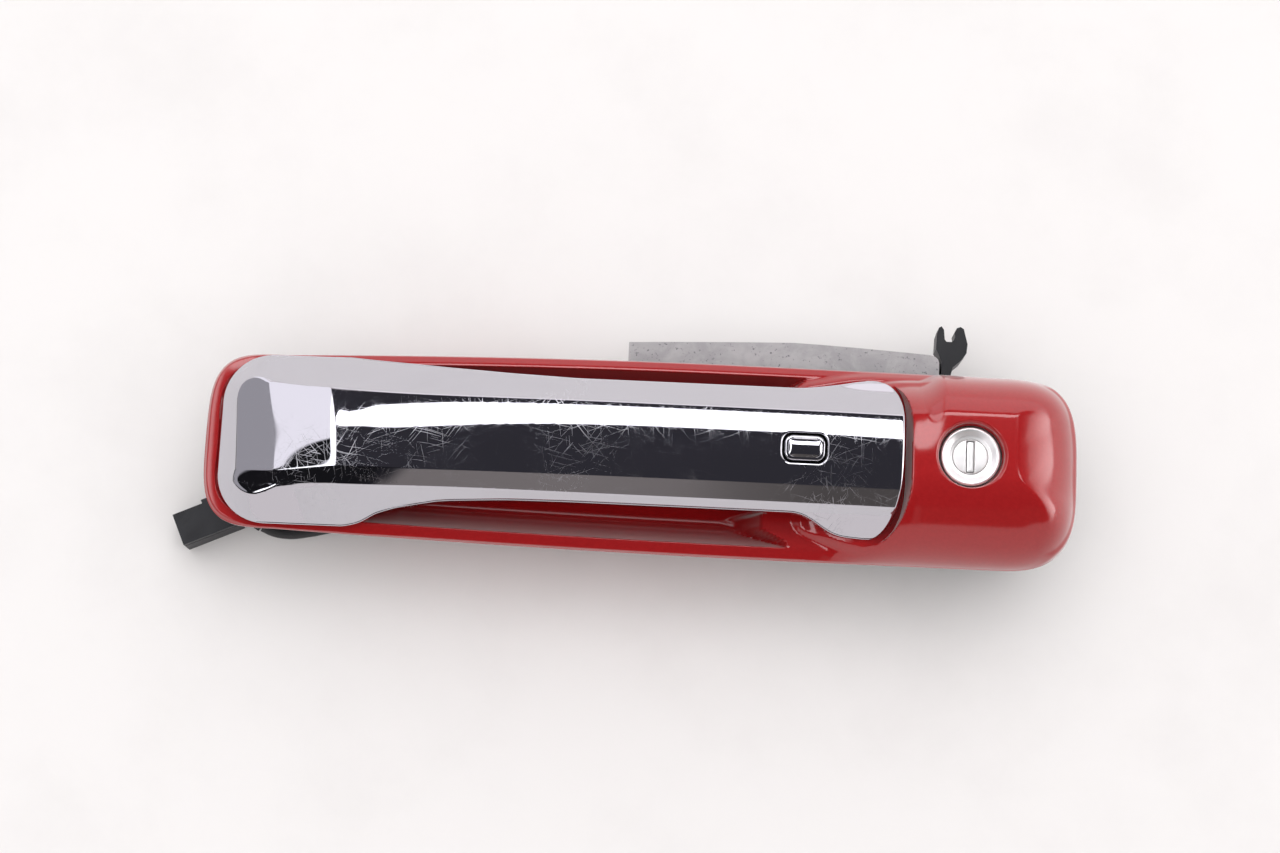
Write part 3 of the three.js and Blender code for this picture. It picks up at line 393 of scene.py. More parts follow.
def rounded_profile(points, radius, steps=5):
    """Rounds the inner corners of an open polyline by a distance along its sides."""
    pts = [np.asarray(p, float) for p in points]
    made = [pts[0]]
    for a, b, c in zip(pts, pts[1:], pts[2:]):
        reach = min(radius, 0.45 * np.linalg.norm(b - a), 0.45 * np.linalg.norm(c - b))
        start = b + (a - b) / max(1e-9, np.linalg.norm(a - b)) * reach
        end = b + (c - b) / max(1e-9, np.linalg.norm(c - b)) * reach
        for t in np.linspace(0, 1, steps):
            made.append((1 - t) ** 2 * start + 2 * t * (1 - t) * b + t * t * end)
    made.append(pts[-1])
    return made


def rounded_rect(x, y, long, wide, radius, steps=12):
    points = []
    for cx, cy, start in ((1, -1, -90), (1, 1, 0), (-1, 1, 90), (-1, -1, 180)):
        for t in np.linspace(0, 90, steps):
            a = math.radians(start + t)
            points.append((x + cx * (long / 2 - radius) + radius * math.cos(a),
                           y + cy * (wide / 2 - radius) + radius * math.sin(a)))
    return np.array(points)


def boolean(obj, tool, operation="DIFFERENCE"):
    """Cuts or joins with a tool object, keeps the result as the mesh, and removes the tool."""
    modifier = obj.modifiers.new("cut", "BOOLEAN")
    modifier.operation = operation
    modifier.object = tool
    modifier.solver = "MANIFOLD"
    made = bpy.data.meshes.new_from_object(obj.evaluated_get(bpy.context.evaluated_depsgraph_get()))
    obj.modifiers.clear()
    old = obj.data
    obj.data = made
    bpy.data.meshes.remove(old)
    bpy.data.objects.remove(tool)


def box_tool(x0, x1, y0, y1, z0, z1):
    loops = [[(x0, y0, z), (x1, y0, z), (x1, y1, z), (x0, y1, z)] for z in (z0, z1)]
    return loft("tool", loops)


def prism_tool(outline, z0, z1):
    return loft("tool", [[(x, y, z) for x, y in outline] for z in (z0, z1)])


def edge_split(obj, degrees):
    obj.data.shade_smooth()
    obj.data.set_sharp_from_angle(angle=math.radians(degrees))


NEAR_SURFACE = 0.08
SAME_WAY = 0.9


def surface_normals(obj, height, step=0.02):
    """Gives the faces that lie on a height surface that surface's own normals, so that reflections run true."""
    mesh = obj.data
    count = len(mesh.loops)
    corners = np.zeros(count, np.int32)
    mesh.loops.foreach_get("vertex_index", corners)
    co = np.zeros(len(mesh.vertices) * 3)
    mesh.vertices.foreach_get("co", co)
    co = co.reshape(-1, 3) / MM - ORIGIN
    x, y = co[:, 0], co[:, 1]
    slope_x = (height(x + step, y) - height(x - step, y)) / (2 * step)
    slope_y = (height(x, y + step) - height(x, y - step)) / (2 * step)
    true = np.stack([-slope_x, -slope_y, np.ones_like(x)], 1)
    true /= np.linalg.norm(true, axis=1)[:, None]
    near = np.abs(co[:, 2] - height(x, y)) < NEAR_SURFACE
    current = np.zeros(count * 3, np.float32)
    mesh.corner_normals.foreach_get("vector", current)
    current = current.reshape(-1, 3)
    flat = np.zeros(len(mesh.polygons) * 3, np.float32)
    mesh.polygons.foreach_get("normal", flat)
    sizes = np.zeros(len(mesh.polygons), np.int32)
    mesh.polygons.foreach_get("loop_total", sizes)
    face = np.repeat(flat.reshape(-1, 3), sizes, axis=0)
    wanted = true[corners]
    use = near[corners] & ((wanted * face).sum(1) > SAME_WAY)
    current[use] = wanted[use]
    mesh.normals_split_custom_set([tuple(v) for v in current])


# ---------------------------------------------------------------- escutcheon
def flare_outline(start_x, grow, steps):
    points = [(start_x, -24.3 - grow)]
    for i in range(steps + 1):
        angle = -math.pi / 2 + math.pi * i / steps
        c, s = math.cos(angle), math.sin(angle)
        start, reach, power = LOW_FLARE if s < 0 else HIGH_FLARE
        x = FLARE["corner_x"] + (FLARE["reach_x"] + grow) * abs(c) ** (2 / power)
        side = math.copysign(1, s)
        points.append((x, side * start + side * (reach + grow) * abs(s) ** (2 / power)))
    points.append((start_x, 24.7 + grow))
    return points


def lock_mouth_profile():
    roll = [(9.9 + 1.6 * (1 - math.cos(a)), 25.5 + 1.55 * math.sin(a)) for a in np.linspace(0, math.pi / 2.15, 9)]
    return [(0, -10), (9.4, -10), (9.4, 23.4), (9.9, 24.4), *roll, (13.2, 27.6), (0, 27.6)]


def make_bezel():
    side_x = np.concatenate([
        np.arange(-112, 70, 1.1), np.arange(70, 77, 0.5), np.arange(77, 86, 0.3), np.arange(86, 104.6, 0.8)])
    outer, inner = bezel_rays(150, side_x)
    rim = np.concatenate([[0, 0.12, 0.3], np.arange(0.55, 5.6, 0.26)])
    insets = np.concatenate([rim, np.arange(6, 20, 0.5), np.arange(20, 32, 0.75)])
    reach = np.linalg.norm(outer - inner, axis=1)

    def ring(inset, height):
        t = np.clip(inset / reach, 0, 1)[:, None]
        xy = outer + (inner - outer) * t
        return np.column_stack([xy, height(xy[:, 0], xy[:, 1])])

    def back(x, y):
        return np.full_like(x, BEZEL["back_z"])

    loops = [ring(d, bezel_underside) for d in (60, 22, 16, 11, 7, BEZEL["land"] + 0.4)]
    loops += [ring(BEZEL["land"], back), ring(0.35, back), ring(0, lambda x, y: back(x, y) + 0.35)]
    loops += [ring(d, bezel_height) for d in [*insets, 60]]
    bezel = loft("bezel_shell", loops, caps=False)
    boolean(bezel, prism_tool(flare_outline(40, FLARE["gap"], 120), PEDESTAL["top_z"], 45))
    for x, y in SCREWS:
        length = 1.5 if x < 0 else 20.2
        post = [(0, -9), (3.2, -9), (3.5, -8.7), (3.5, length), (0, length)]
        boolean(bezel, lathe("tool", post, x, y, 32), "UNION")
    boolean(bezel, box_tool(-128, -114.5, -9, 9, -20, 12))
    boolean(bezel, box_tool(64, 77, -7, 7, -10, 20))
    boolean(bezel, lathe("tool", lock_mouth_profile(), LOCK["x"], LOCK["y"], 160))
    boolean(bezel, lathe("tool", [(0, -10), (11.6, -10), (11.6, 20.5), (0, 20.5)], LOCK["x"], LOCK["y"], 64))
    for x, y in SCREWS:
        depth = 0.2 if x < 0 else 4.5
        boolean(bezel, lathe("tool", [(0, -9.5), (1.8, -9.5), (1.8, depth), (0, depth)], x, y, 24))
    edge_split(bezel, 32)
    surface_normals(bezel, bezel_height)
    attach(bezel, "base")
    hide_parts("bezel")
    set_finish(bezel, "red_paint")


# ---------------------------------------------------------------- grip surface
# Across the grip, from +Y to -Y: edge, foot, upper crease, lower crease, lower step, foot, edge.
GRIP_Y = np.array([
    [-130.3, 26.5, 20, 15.8, -11, -14, -20, -26.5], [-112, 26.5, 22.8, 15.3, -12, -16, -22.5, -26.5],
    [-93, 26.6, 22.8, 13.8, -10.6, -15.8, -22.5, -26.5], [-88, 26.6, 22.6, 13.4, -10.7, -15.8, -21.9, -25.3],
    [-82, 25.8, 22.3, 13, -10.8, -15.8, -20.6, -22.8], [-75, 25, 22, 12.6, -10.8, -15.7, -19.6, -21.3],
    [-60, 23.5, 21.6, 12.3, -10.7, -15.5, -17.9, -18.7], [-40, 22, 21.2, 12.2, -10.5, -15.4, -17.2, -17.7],
    [-20, 21.1, 20.8, 12.2, -10.5, -15.4, -17.1, -17.5], [50, 21.1, 20.8, 12.2, -10.5, -15.4, -17.1, -17.6],
    [60, 22.8, 21, 12.2, -10.5, -15.4, -17.3, -23.4], [68, 24.6, 21, 12.2, -10.5, -15.4, -17.3, -24.1],
    [80, 24.7, 21, 12.2, -10.5, -15.4, -17.3, -24.1],
])
# Heights of the same lines, then of the crown between the two creases. In front of X = -93 the flange cuts these.
GRIP_Z = np.array([
    [-130.3, 11.4, 11.4, 11.4, 11.4, 11.4, 11.4, 11.4, 0], [-124, 13.2, 13.2, 13.2, 14.4, 13.4, 13.4, 13.4, 0.1],
    [-112, 17.9, 17.9, 17.9, 19.9, 17.6, 17.6, 17.6, 0.3], [-93, 7.6, 12.2, 22.8, 25.2, 22.3, 13.1, 7.6, 2],
    [-88, 8, 12.9, 23.3, 25.5, 22.5, 13.8, 7.9, 2], [-82, 9.6, 13.6, 24.2, 25.8, 22.7, 15.5, 12.3, 2],
    [-75, 11.4, 14.8, 25.1, 26.1, 22.9, 17, 14.5, 2], [-60, 14.2, 16.4, 26.2, 26.4, 23, 18.2, 17, 1.9],
    [-40, 16.8, 17.8, 27.2, 26.2, 22.8, 18.6, 17.8, 2.1], [-20, 18, 18.6, 27.8, 26, 22.6, 18.6, 18, 2.3],
    [0, 18, 18.6, 28, 25.8, 22.4, 18.6, 18, 2.4], [20, 18, 18.6, 28, 25.8, 22.4, 18.6, 18, 2.4],
    [50, 18, 18.6, 27.6, 25.4, 22, 18.6, 18, 2.4], [60, 17, 18.6, 27.4, 25.2, 21.8, 18.2, 13, 2.4],
    [68, 16.2, 18.4, 27, 24.9, 21.5, 18, 12.4, 2.4], [80, 16, 18.2, 26.4, 24.4, 21, 17.8, 12.2, 2.4],
])
GRIP_BENDS = np.array([-124, -112.5, -93.5])
BEND_WIDTHS = np.array([1.6, 1.7, 2.1])
EDGE_COLUMNS = (1, 6, 7)
FLANGE_X = [-130.3, -120, -112, -93]
FLANGE_EDGE = [6.7, 6.9, 7.1, 7.6]
FLANGE_STEEP = {"up": [1.15, 1.1, 0.99, 1.19], "low": [1.15, 1.1, 1.03, 1.36]}
GRIP_START, GRIP_END = -130.3, 80
FRONT_END, REAR_START = -113, 68
NOSE = dict(x=-115, y=11.2, radius=15.3, half_y=26.5)
SKIRT = 3.0
FRONT_SKIRT = 0.9
COVER_WALL = 2.4
CORNER_REACH = [0.5, 1.6, 0.35, 0.3, 0.3, 1.2, 0.5]


def grip_reading(table, column, x):
    """A column of a table at x, averaged over a window that narrows towards the crisp bends at the front."""
    near = np.min(np.abs(x - GRIP_BENDS) * 0.75 + BEND_WIDTHS)
    widest = 14 if x < 40 else 5
    if table is GRIP_Y and column in EDGE_COLUMNS:
        widest = 2 if x < -60 else min(widest, 5)
    width = min(near, widest, max(0.1, x - GRIP_START))
    offsets = np.linspace(-1, 1, 15)
    weights = np.cos(offsets * math.pi / 2) + 1e-6
    return float(np.average(np.interp(x + width * offsets, table[:, 0], table[:, column]), weights=weights))


def front_inset(x, y):
    """How far a point is inside the rounded front end and the straight sides behind it."""
    over = max(0, abs(y) - NOSE["y"])
    if x > NOSE["x"]:
        return NOSE["half_y"] - abs(y)
    return NOSE["radius"] - math.hypot(x - NOSE["x"], over)


def under_flange(x, y, z):
    """The steep flange that runs round the front end, wherever it is lower than the grip's top."""
    if x > FLANGE_X[-1]:
        return z
    steep = np.interp(x, FLANGE_X, FLANGE_STEEP["up" if y > 0 else "low"])
    flange = np.interp(x, FLANGE_X, FLANGE_EDGE) + steep * max(0, front_inset(grip_x(x, y), y))
    return float(soft_min(z, flange, 0.02 + 0.6 * float(ease((FLANGE_X[-1] - x) / 8))))


def grip_front_x(y):
    return NOSE["x"] - math.sqrt(max(0, NOSE["radius"] ** 2 - max(0, abs(y) - NOSE["y"]) ** 2))


def grip_rear_x(y):
    start, reach, power = LOW_FLARE if y < 0 else HIGH_FLARE
    across = min(1, max(0, abs(y) - start) / reach)
    return FLARE["corner_x"] + FLARE["reach_x"] * (1 - across ** power) ** (1 / power)


def grip_x(x, y):
    """Where station x puts a point at y: the ends follow their curved outlines, the ridge is a little askew."""
    if x > REAR_START:
        return mix(REAR_START, grip_rear_x(y), (x - REAR_START) / (GRIP_END - REAR_START))
    askew = -0.11 * y * float(ease((x + 124) / 10) * ease((-70 - x) / 18))
    if x < FRONT_END:
        return mix(grip_front_x(y), FRONT_END, (x - GRIP_START) / (FRONT_END - GRIP_START)) + askew
    return x + askew


def crown_points(a, b, rise, ts):
    return [a + (b - a) * t + np.array([0, rise * 4 * t * (1 - t)]) for t in ts]


def grip_section(x):
    """The top line of the cover at station x as (y, z) points from the +Y edge to the -Y edge."""
    ys = [grip_reading(GRIP_Y, c, x) for c in range(1, 8)]
    zs = [grip_reading(GRIP_Z, c, x) for c in range(1, 8)]
    rise = grip_reading(GRIP_Z, 8, x)
    keys = [np.array(p) for p in zip(ys, zs)]
    between = []
    for k in range(6):
        a, b = keys[k], keys[k + 1]
        length = np.linalg.norm(b - a)
        start = min(CORNER_REACH[k], 0.45 * length) / length if k else 0
        end = min(CORNER_REACH[k + 1], 0.45 * length) / length if k < 5 else 0
        count = 30 if k == 2 else 12 if k in (1, 4) else 7
        ts = np.linspace(start, 1 - end, count)
        between.append(crown_points(a, b, rise if k == 2 else 0, ts))
    line = list(between[0])
    for k in range(1, 6):
        start, corner, end = between[k - 1][-1], keys[k], between[k][0]
        for t in (0.17, 0.33, 0.5, 0.67, 0.83):
            line.append((1 - t) ** 2 * start + 2 * t * (1 - t) * corner + t * t * end)
        line += between[k]
    return np.array([(y, under_flange(x, y, z)) for y, z in line])


def roll_off(distance, radius):
    """How far a rounded edge of this radius has dropped at a distance inside the edge."""
    inside = np.clip(radius - distance, 0, radius)
    return radius - math.sqrt(radius ** 2 - inside ** 2)


def skirt_depth(x):
    return mix(FRONT_SKIRT, SKIRT, float(ease((x + 100) / 30)))


def cover_rows(x):
    """Upper and lower rows of points of the cover's shell at station x."""
    line = grip_section(x)
    drop = roll_off(GRIP_END - x, 1.1) + roll_off(x - GRIP_START, 0.6)
    depth = skirt_depth(x)
    high, low = line[0], line[-1]
    edge = 0.45
    arcs = [(edge * (1 - math.sin(a)), edge * (1 - math.cos(a))) for a in np.linspace(math.pi / 2, 0.2, 5)]
    top = [(high[0] - o, high[1] - d) for o, d in arcs]
    top += [(y, z) for y, z in line if high[0] - edge > y > low[0] + edge]
    missing = len(line) - (len(top) - len(arcs))
    top += [(low[0] + edge, np.interp(-(low[0] + edge), -line[:, 0], line[:, 1]))] * missing
    top += [(low[0] + o, low[1] - d) for o, d in arcs[::-1]]
    top = np.array([(y, z - drop) for y, z in top])
    skirt_z = high[1] - depth, low[1] - depth
    ys = np.linspace(high[0] - 2.4, low[0] + 2.4, len(top) - 4)
    floor = np.interp(-ys, -line[[0, -1], 0], skirt_z)
    lid = np.maximum(floor, np.interp(-ys, -line[:, 0], line[:, 1]) - COVER_WALL)
    bottom = [(high[0], skirt_z[0]), (high[0] - 2.1, skirt_z[0]), *zip(ys, lid),
              (low[0] + 2.1, skirt_z[1]), (low[0], skirt_z[1])]
    return top, np.array(bottom)


def grip_stations():
    from_start = np.array([0, 0.05, 0.12, 0.22, 0.35, 0.5, 0.7])
    from_end = np.array([1.6, 1.25, 1.0, 0.8, 0.62, 0.46, 0.32, 0.2, 0.1, 0.03, 0])
    front = np.concatenate([GRIP_START + from_start, np.arange(-129, -78, 0.45)])
    rear = np.concatenate([np.arange(50, 78, 0.8), GRIP_END - from_end])
    return np.concatenate([front, np.arange(-78, 50, 1.3), rear])


def cover_z(x, y):
    line = grip_section(x)
    return float(np.interp(-y, -line[:, 0], line[:, 1]))


def make_grip_cover():
    loops, count = [], 0
    for x in grip_stations():
        top, bottom = cover_rows(float(x))
        count = len(top)
        row = [*top, *bottom[::-1]]
        loops.append([(grip_x(float(x), y), y, z) for y, z in row])
    total = len(loops[0])
    faces = grid_faces(len(loops), total)
    last = (len(loops) - 1) * total
    for j in range(count - 1):
        k = total - 1 - j
        faces.append((j + 1, j, k, k - 1))
        faces.append((last + j, last + j + 1, last + k - 1, last + k))
    cover = new_object("grip_cover_shell", np.array(loops).reshape(-1, 3), faces)
    boolean(cover, box_tool(76.2, 78.6, -10, 9, 14, 23.4), "UNION")
    boolean(cover, box_tool(76.3, 78.5, -4, 8.9, 20, 25.9), "UNION")
    boolean(cover, button_hole_tool())
    edge_split(cover, 40)
    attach(cover, "grip")
    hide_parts("grip_cover")
    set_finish(cover, "chrome")


# ---------------------------------------------------------------- lock button
def over_cover(outline, offset, height):
    """An outline grown by offset and laid over the grip's surface at a height above it."""
    outline = np.asarray(outline)
    centre = np.array([BUTTON["x"], BUTTON["y"]])
    away = outline - centre
    half = np.array([BUTTON["long"], BUTTON["wide"]]) / 2
    grown = centre + away * (1 + offset / half)
    return [(x, y, cover_z(x, y) + height) for x, y in grown]


def button_outline():
    return rounded_rect(BUTTON["x"], BUTTON["y"], BUTTON["long"], BUTTON["wide"], BUTTON["corner"])


def button_hole_tool():
    lip = 0.55
    loops = [[(x, y, 20) for x, y, _ in over_cover(button_outline(), BUTTON["gap"], 0)]]
    for a in np.linspace(0, math.pi / 2 - 0.12, 7):
        loops.append(over_cover(button_outline(), BUTTON["gap"] + lip * (1 - math.cos(a)), lip * (math.sin(a) - 1)))
    loops.append(over_cover(button_outline(), BUTTON["gap"] + lip, 0.06))
    loops.append([(x, y, 36) for x, y, _ in over_cover(button_outline(), BUTTON["gap"] + lip, 0)])
    return loft("tool", loops)


def make_button():
    """A cap with a bevelled rim round a pad that is domed across the grip."""
    rings = [(0, -3.2), (0, -0.7), (-0.1, -0.42), (-0.3, -0.24), (-0.6, -0.14), (-0.85, -0.14), (-0.95, -0.16)]
    outline = button_outline()
    loops = [over_cover(outline, o, h) for o, h in rings]
    half_long, half_wide = BUTTON["long"] / 2 - 0.95, BUTTON["wide"] / 2 - 0.95
    for offset in (-1.0, -1.1, -1.3, -1.5, -1.75, -2.0, -2.25, -2.5, -2.75, -3.0, -3.2, -3.4, -3.6, -3.75):
        ring = []
        for x, y, z in over_cover(outline, offset, -0.16):
            u, v = (x - BUTTON["x"]) / half_long, (y - BUTTON["y"]) / half_wide
            ring.append((x, y, z + 0.75 * (1 - v * v) * max(0, 1 - abs(u) ** 8)))
        loops.append(ring)
    button = loft("lock_button_cap", loops)
    edge_split(button, 50)
    stem = lathe("tool", [(0, 23.9), (1.3, 23.9), (1.4, 24), (1.4, 27), (0, 27)], BUTTON["x"], BUTTON["y"], 32)
    boolean(button, stem, "UNION")
    edge_split(button, 50)
    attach(button, "button")
    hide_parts("lock_button")
    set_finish(button, "chrome")


# ---------------------------------------------------------------- lock
def make_lock_face():
    r, z, plug = LOCK["face_r"], LOCK["face_z"], LOCK["plug_r"]
    profile = rounded_profile([
        (plug + 0.12, 20.5), (r, 20.5), (r, z - 0.35), (r - 0.45, z), (r - 1.0, z - 0.05), (plug + 1.1, z - 1.15),
        (plug + 0.35, z - 1.2), (plug + 0.12, z - 1.35), (plug + 0.12, 20.5)], 0.3)
    profile[-1] = profile[0]
    face = lathe("lock_face_ring", profile, LOCK["x"], LOCK["y"], 128)
    edge_split(face, 40)
    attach(face, "base")
    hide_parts("lock_face")
    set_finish(face, "stainless_steel")


def make_lock_plug():
    z, r = LOCK["face_z"], LOCK["plug_r"]
    profile = rounded_profile([
        (0, -26.6), (2.2, -26.6), (2.2, -21.4), (r, -21.4), (r, z - 1.25), (r - 0.25, z - 0.95), (0, z - 0.9)], 0.15)
    plug = lathe("lock_plug_barrel", profile, LOCK["x"], LOCK["y"], 96)
    slot = rounded_rect(LOCK["x"], LOCK["y"], KEYWAY["wide"], KEYWAY["long"], 0.45, 5)
    flared = [[(LOCK["x"] + (x - LOCK["x"]) * s, LOCK["y"] + (y - LOCK["y"]) * (1 + (s - 1) / 4), h)
               for x, y in slot] for s, h in ((1, z - KEYWAY["depth"]), (1, z - 1.25), (1.22, z - 0.85), (1.3, 30))]
    boolean(plug, loft("tool", flared))
    groove = lathe("tool", [(1.7, -26), (3, -26), (3, -25.2), (1.7, -25.2), (1.7, -26)], LOCK["x"], LOCK["y"], 32)
    boolean(plug, groove)
    edge_split(plug, 40)
    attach(plug, "lock_plug")
    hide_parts("lock_plug")
    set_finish(plug, "stainless_steel")


def make_shutter():
    """The sprung flap behind the keyway: a thin plate with a raised rib for the key's tip."""
    z = LOCK["face_z"]
    outline = rounded_rect(LOCK["x"], LOCK["y"], 1.9, 9.2, 0.4, 4)

    def at(scale, height):
        return [(LOCK["x"] + (x - LOCK["x"]) * scale, LOCK["y"] + (y - LOCK["y"]) * (1 + (scale - 1) / 5), height)
                for x, y in outline]

    loops = [at(0.9, z - 2), at(1, z - 1.93), at(1, z - 1.42), at(0.9, z - 1.33), at(0.45, z - 1.3)]
    shutter = loft("keyway_shutter_flap", loops)
    edge_split(shutter, 40)
    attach(shutter, "shutter")
    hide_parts("keyway_shutter")
    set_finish(shutter, "stainless_steel")


# ---------------------------------------------------------------- screws and spring
def make_screw(index, x, y):
    """A pan-head screw from below, with a hexagon socket and a threaded shank."""
    tip = -0.4 if x < 0 else 3.6
    pitch = 0.55
    thread = []
    z = -16
    while z < tip - 0.8:
        thread += [(1.5, z), (1.28, z + pitch / 2)]
        z += pitch
    profile = [(0, -18.6), (2.2, -18.6), (2.55, -18.4), (2.7, -18), (2.7, -16.7), (2.55, -16.45), (1.5, -16.4),
               *thread, (1.3, tip - 0.5), (0.8, tip), (0, tip + 0.2)]
    screw = lathe(f"bezel_screw_body_{index}", profile, x, y, 32)
    hexagon = [(x + 1.45 * math.cos(a), y + 1.45 * math.sin(a)) for a in np.arange(6) * math.pi / 3]
    boolean(screw, prism_tool(hexagon, -19, -17.1))
    edge_split(screw, 40)
    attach(screw, "base")
    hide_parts(f"bezel_screw_{index}")
    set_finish(screw, "zinc_plated_steel")


def make_spring():
    """A torsion spring round the bellcrank's pin, with one leg towards the chassis and one towards the crank."""
    wire, radius, turns = 0.55, 3.35, 12
    start, end = 11.0, 29.0
    line = [(start, CRANK["y"] - 6.5, CRANK["z"] - 3.2)]
    for i in range(turns * 20 + 1):
        a = -math.pi / 2 + 2 * math.pi * i / 20
        x = mix(start, end, i / (turns * 20))
        line.append((x, CRANK["y"] + radius * math.cos(a), CRANK["z"] + radius * math.sin(a)))
    line.append((end, CRANK["y"] + 4.6, CRANK["z"] - 3.3))
    line = smooth_route(line, 2)
    tangent = np.gradient(line, axis=0)
    tangent /= np.linalg.norm(tangent, axis=1)[:, None]
    side = np.cross(tangent, [1, 0, 0])
    side /= np.linalg.norm(side, axis=1)[:, None]
    other = np.cross(tangent, side)
    angles = np.arange(10) * 2 * math.pi / 10
    loops = [[p + wire * (math.cos(a) * s + math.sin(a) * o) for a in angles]
             for p, s, o in zip(line, side, other)]
    spring = loft("return_spring_coil", loops)
    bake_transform(spring)
    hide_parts("return_spring")
    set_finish(spring, "spring_steel")


for make in (make_bezel, make_grip_cover, make_button, make_lock_face, make_lock_plug, make_shutter):
    make()
for number, spot in enumerate(SCREWS, 1):
    make_screw(number, *spot)
make_spring()


# ---------------------------------------------------------------- materials
class Nodes:
    """Short calls for the nodes that the materials and the world are made of."""

    def feed(self, node, inputs):
        """Fills a node's inputs, by name or number: a socket is linked, a value is set."""
        for key, value in inputs.items():
            if isinstance(value, bpy.types.NodeSocket):
                self.tree.links.new(value, node.inputs[key])
            else:
                node.inputs[key].default_value = value

    def add(self, kind, inputs=None, **settings):
        node = self.tree.nodes.new(kind)
        for key, value in settings.items():
            setattr(node, key, value)
        self.feed(node, inputs or {})
        return node

    def maths(self, operation, a, b=0.0):
        return self.add("ShaderNodeMath", {0: a, 1: b}, operation=operation).outputs["Value"]

    def product(self, first, *others):
        for other in others:
            first = self.maths("MULTIPLY", first, other)
        return first

    def ramp(self, value, low, high, out_low=0.0, out_high=1.0):
        inputs = {"From Min": low, "From Max": high, "To Min": out_low, "To Max": out_high, "Value": value}
        return self.add("ShaderNodeMapRange", inputs, interpolation_type="SMOOTHSTEP").outputs["Result"]

    def choose(self, factor, a, b):
        """Colour a where the factor is 0 and colour b where it is 1."""
        a, b = ((*color, 1) if isinstance(color, tuple) else color for color in (a, b))
        return self.add("ShaderNodeMix", {"Factor": factor, "A": a, "B": b}, data_type="RGBA").outputs["Result"]


class Look(Nodes):
    """A Principled material, with short calls for the procedural detail on it."""

    def __init__(self, name, color, roughness, metallic=0.0, coat=0.0, coat_roughness=0.03):
        self.material = bpy.data.materials.new(name)
        self.material.use_nodes = True
        self.tree = self.material.node_tree
        self.shader = self.tree.nodes["Principled BSDF"]
        self.feed(self.shader, {"Base Color": (*color, 1), "Roughness": roughness, "Metallic": metallic,
                                "Coat Weight": coat, "Coat Roughness": coat_roughness})
        self.where = self.add("ShaderNodeTexCoord").outputs["Object"]

    def mapped(self, where, scale=(1, 1, 1), turn=0.0, shift=(0, 0, 0)):
        inputs = {"Scale": scale, "Rotation": (0, 0, turn), "Location": shift, "Vector": where}
        return self.add("ShaderNodeMapping", inputs).outputs["Vector"]

    def grain(self, where, scale, detail, rough=0.5, distortion=0.0):
        return self.add("ShaderNodeTexNoise", {
            "Scale": scale, "Detail": detail, "Roughness": rough, "Distortion": distortion,
            "Vector": where}).outputs

    def noise(self, scale, detail=3.0, rough=0.55, distortion=0.0, stretch=(1, 1, 1)):
        return self.grain(self.mapped(self.where, stretch), scale, detail, rough, distortion)["Fac"]

    def clouds(self, value, low, high, dark, light):
        """Colours the surface from one tone to another as the value goes from low to high."""
        self.feed(self.shader, {"Base Color": self.choose(self.ramp(value, low, high), dark, light)})

    def roughness(self, value):
        self.feed(self.shader, {"Roughness": value})

    def bump(self, height, strength, distance, coat=False):
        node = self.add("ShaderNodeBump", {"Strength": strength, "Distance": distance, "Height": height})
        self.feed(self.shader, {"Coat Normal" if coat else "Normal": node.outputs["Normal"]})

    def bent(self, amount, scale):
        """Object coordinates pushed about by a slow noise, so that straight lines come out curved."""
        push = self.grain(self.where, scale, 1)["Color"]
        for operation, inputs in (("SUBTRACT", {0: push, 1: (0.5, 0.5, 0.5)}), ("SCALE", {"Scale": amount}),
                                  ("ADD", {1: self.where})):
            push = self.add("ShaderNodeVectorMath", {0: push, **inputs}, operation=operation).outputs["Vector"]
        return push

    def hairlines(self, where, angles, scale, stretch, low, high):
        """Fine scratches: thin stretched noise at several angles, only its peaks kept."""
        total = None
        for angle in angles:
            turned = self.mapped(where, turn=math.radians(angle))
            drawn = self.mapped(turned, (stretch, 1, 0.1), shift=(angle, angle, 0))
            cut = self.ramp(self.grain(drawn, scale, 0)["Fac"], low, high)
            total = cut if total is None else self.maths("MAXIMUM", total, cut)
        return total


def red_paint():
    look = Look("red_paint", (0.33, 0.005, 0.007), 0.4, 0.0, 1.0, 0.11)
    look.feed(look.shader, {
        "Coat IOR": 1.6, "Specular IOR Level": 0.25, "Specular Tint": (1, 0.25, 0.25, 1), "Sheen Weight": 0.6,
        "Sheen Roughness": 0.3})
    cloud = look.noise(900, 2.0)
    look.clouds(cloud, 0.3, 0.75, (0.315, 0.0045, 0.006), (0.345, 0.006, 0.0075))
    look.bump(look.noise(420, 1.5), 0.05, 0.0002, coat=True)
    return look.material


def chrome():
    """Polished plating: a slight haze, and fine scratches that gather in worn patches."""
    look = Look("chrome", (0.575, 0.567, 0.61), 0.03, 1.0)
    bent = look.bent(0.0035, 60)
    scratch = look.hairlines(bent, (12, 47, 83, 124, 158), 4200, 0.014, 0.738, 0.766)
    worn = look.ramp(look.noise(32, 2.0), 0.4, 0.62, 0.25, 1)
    haze = look.ramp(look.noise(60, 4.0, 0.6, 0.4), 0.35, 0.8, 0.02, 0.026)
    look.roughness(look.maths("ADD", haze, look.product(scratch, worn, 0.3)))
    return look.material


def satin_steel():
    look = Look("stainless_steel", (0.95, 0.94, 0.94), 0.34, 0.68)
    grain = look.noise(2600, 2.0)
    wear = look.noise(160, 4.0, 0.6)
    look.clouds(wear, 0.35, 0.7, (0.9, 0.89, 0.89), (0.98, 0.96, 0.96))
    look.roughness(look.ramp(wear, 0.3, 0.75, 0.32, 0.42))
    look.bump(grain, 0.12, 0.00006)
    return look.material


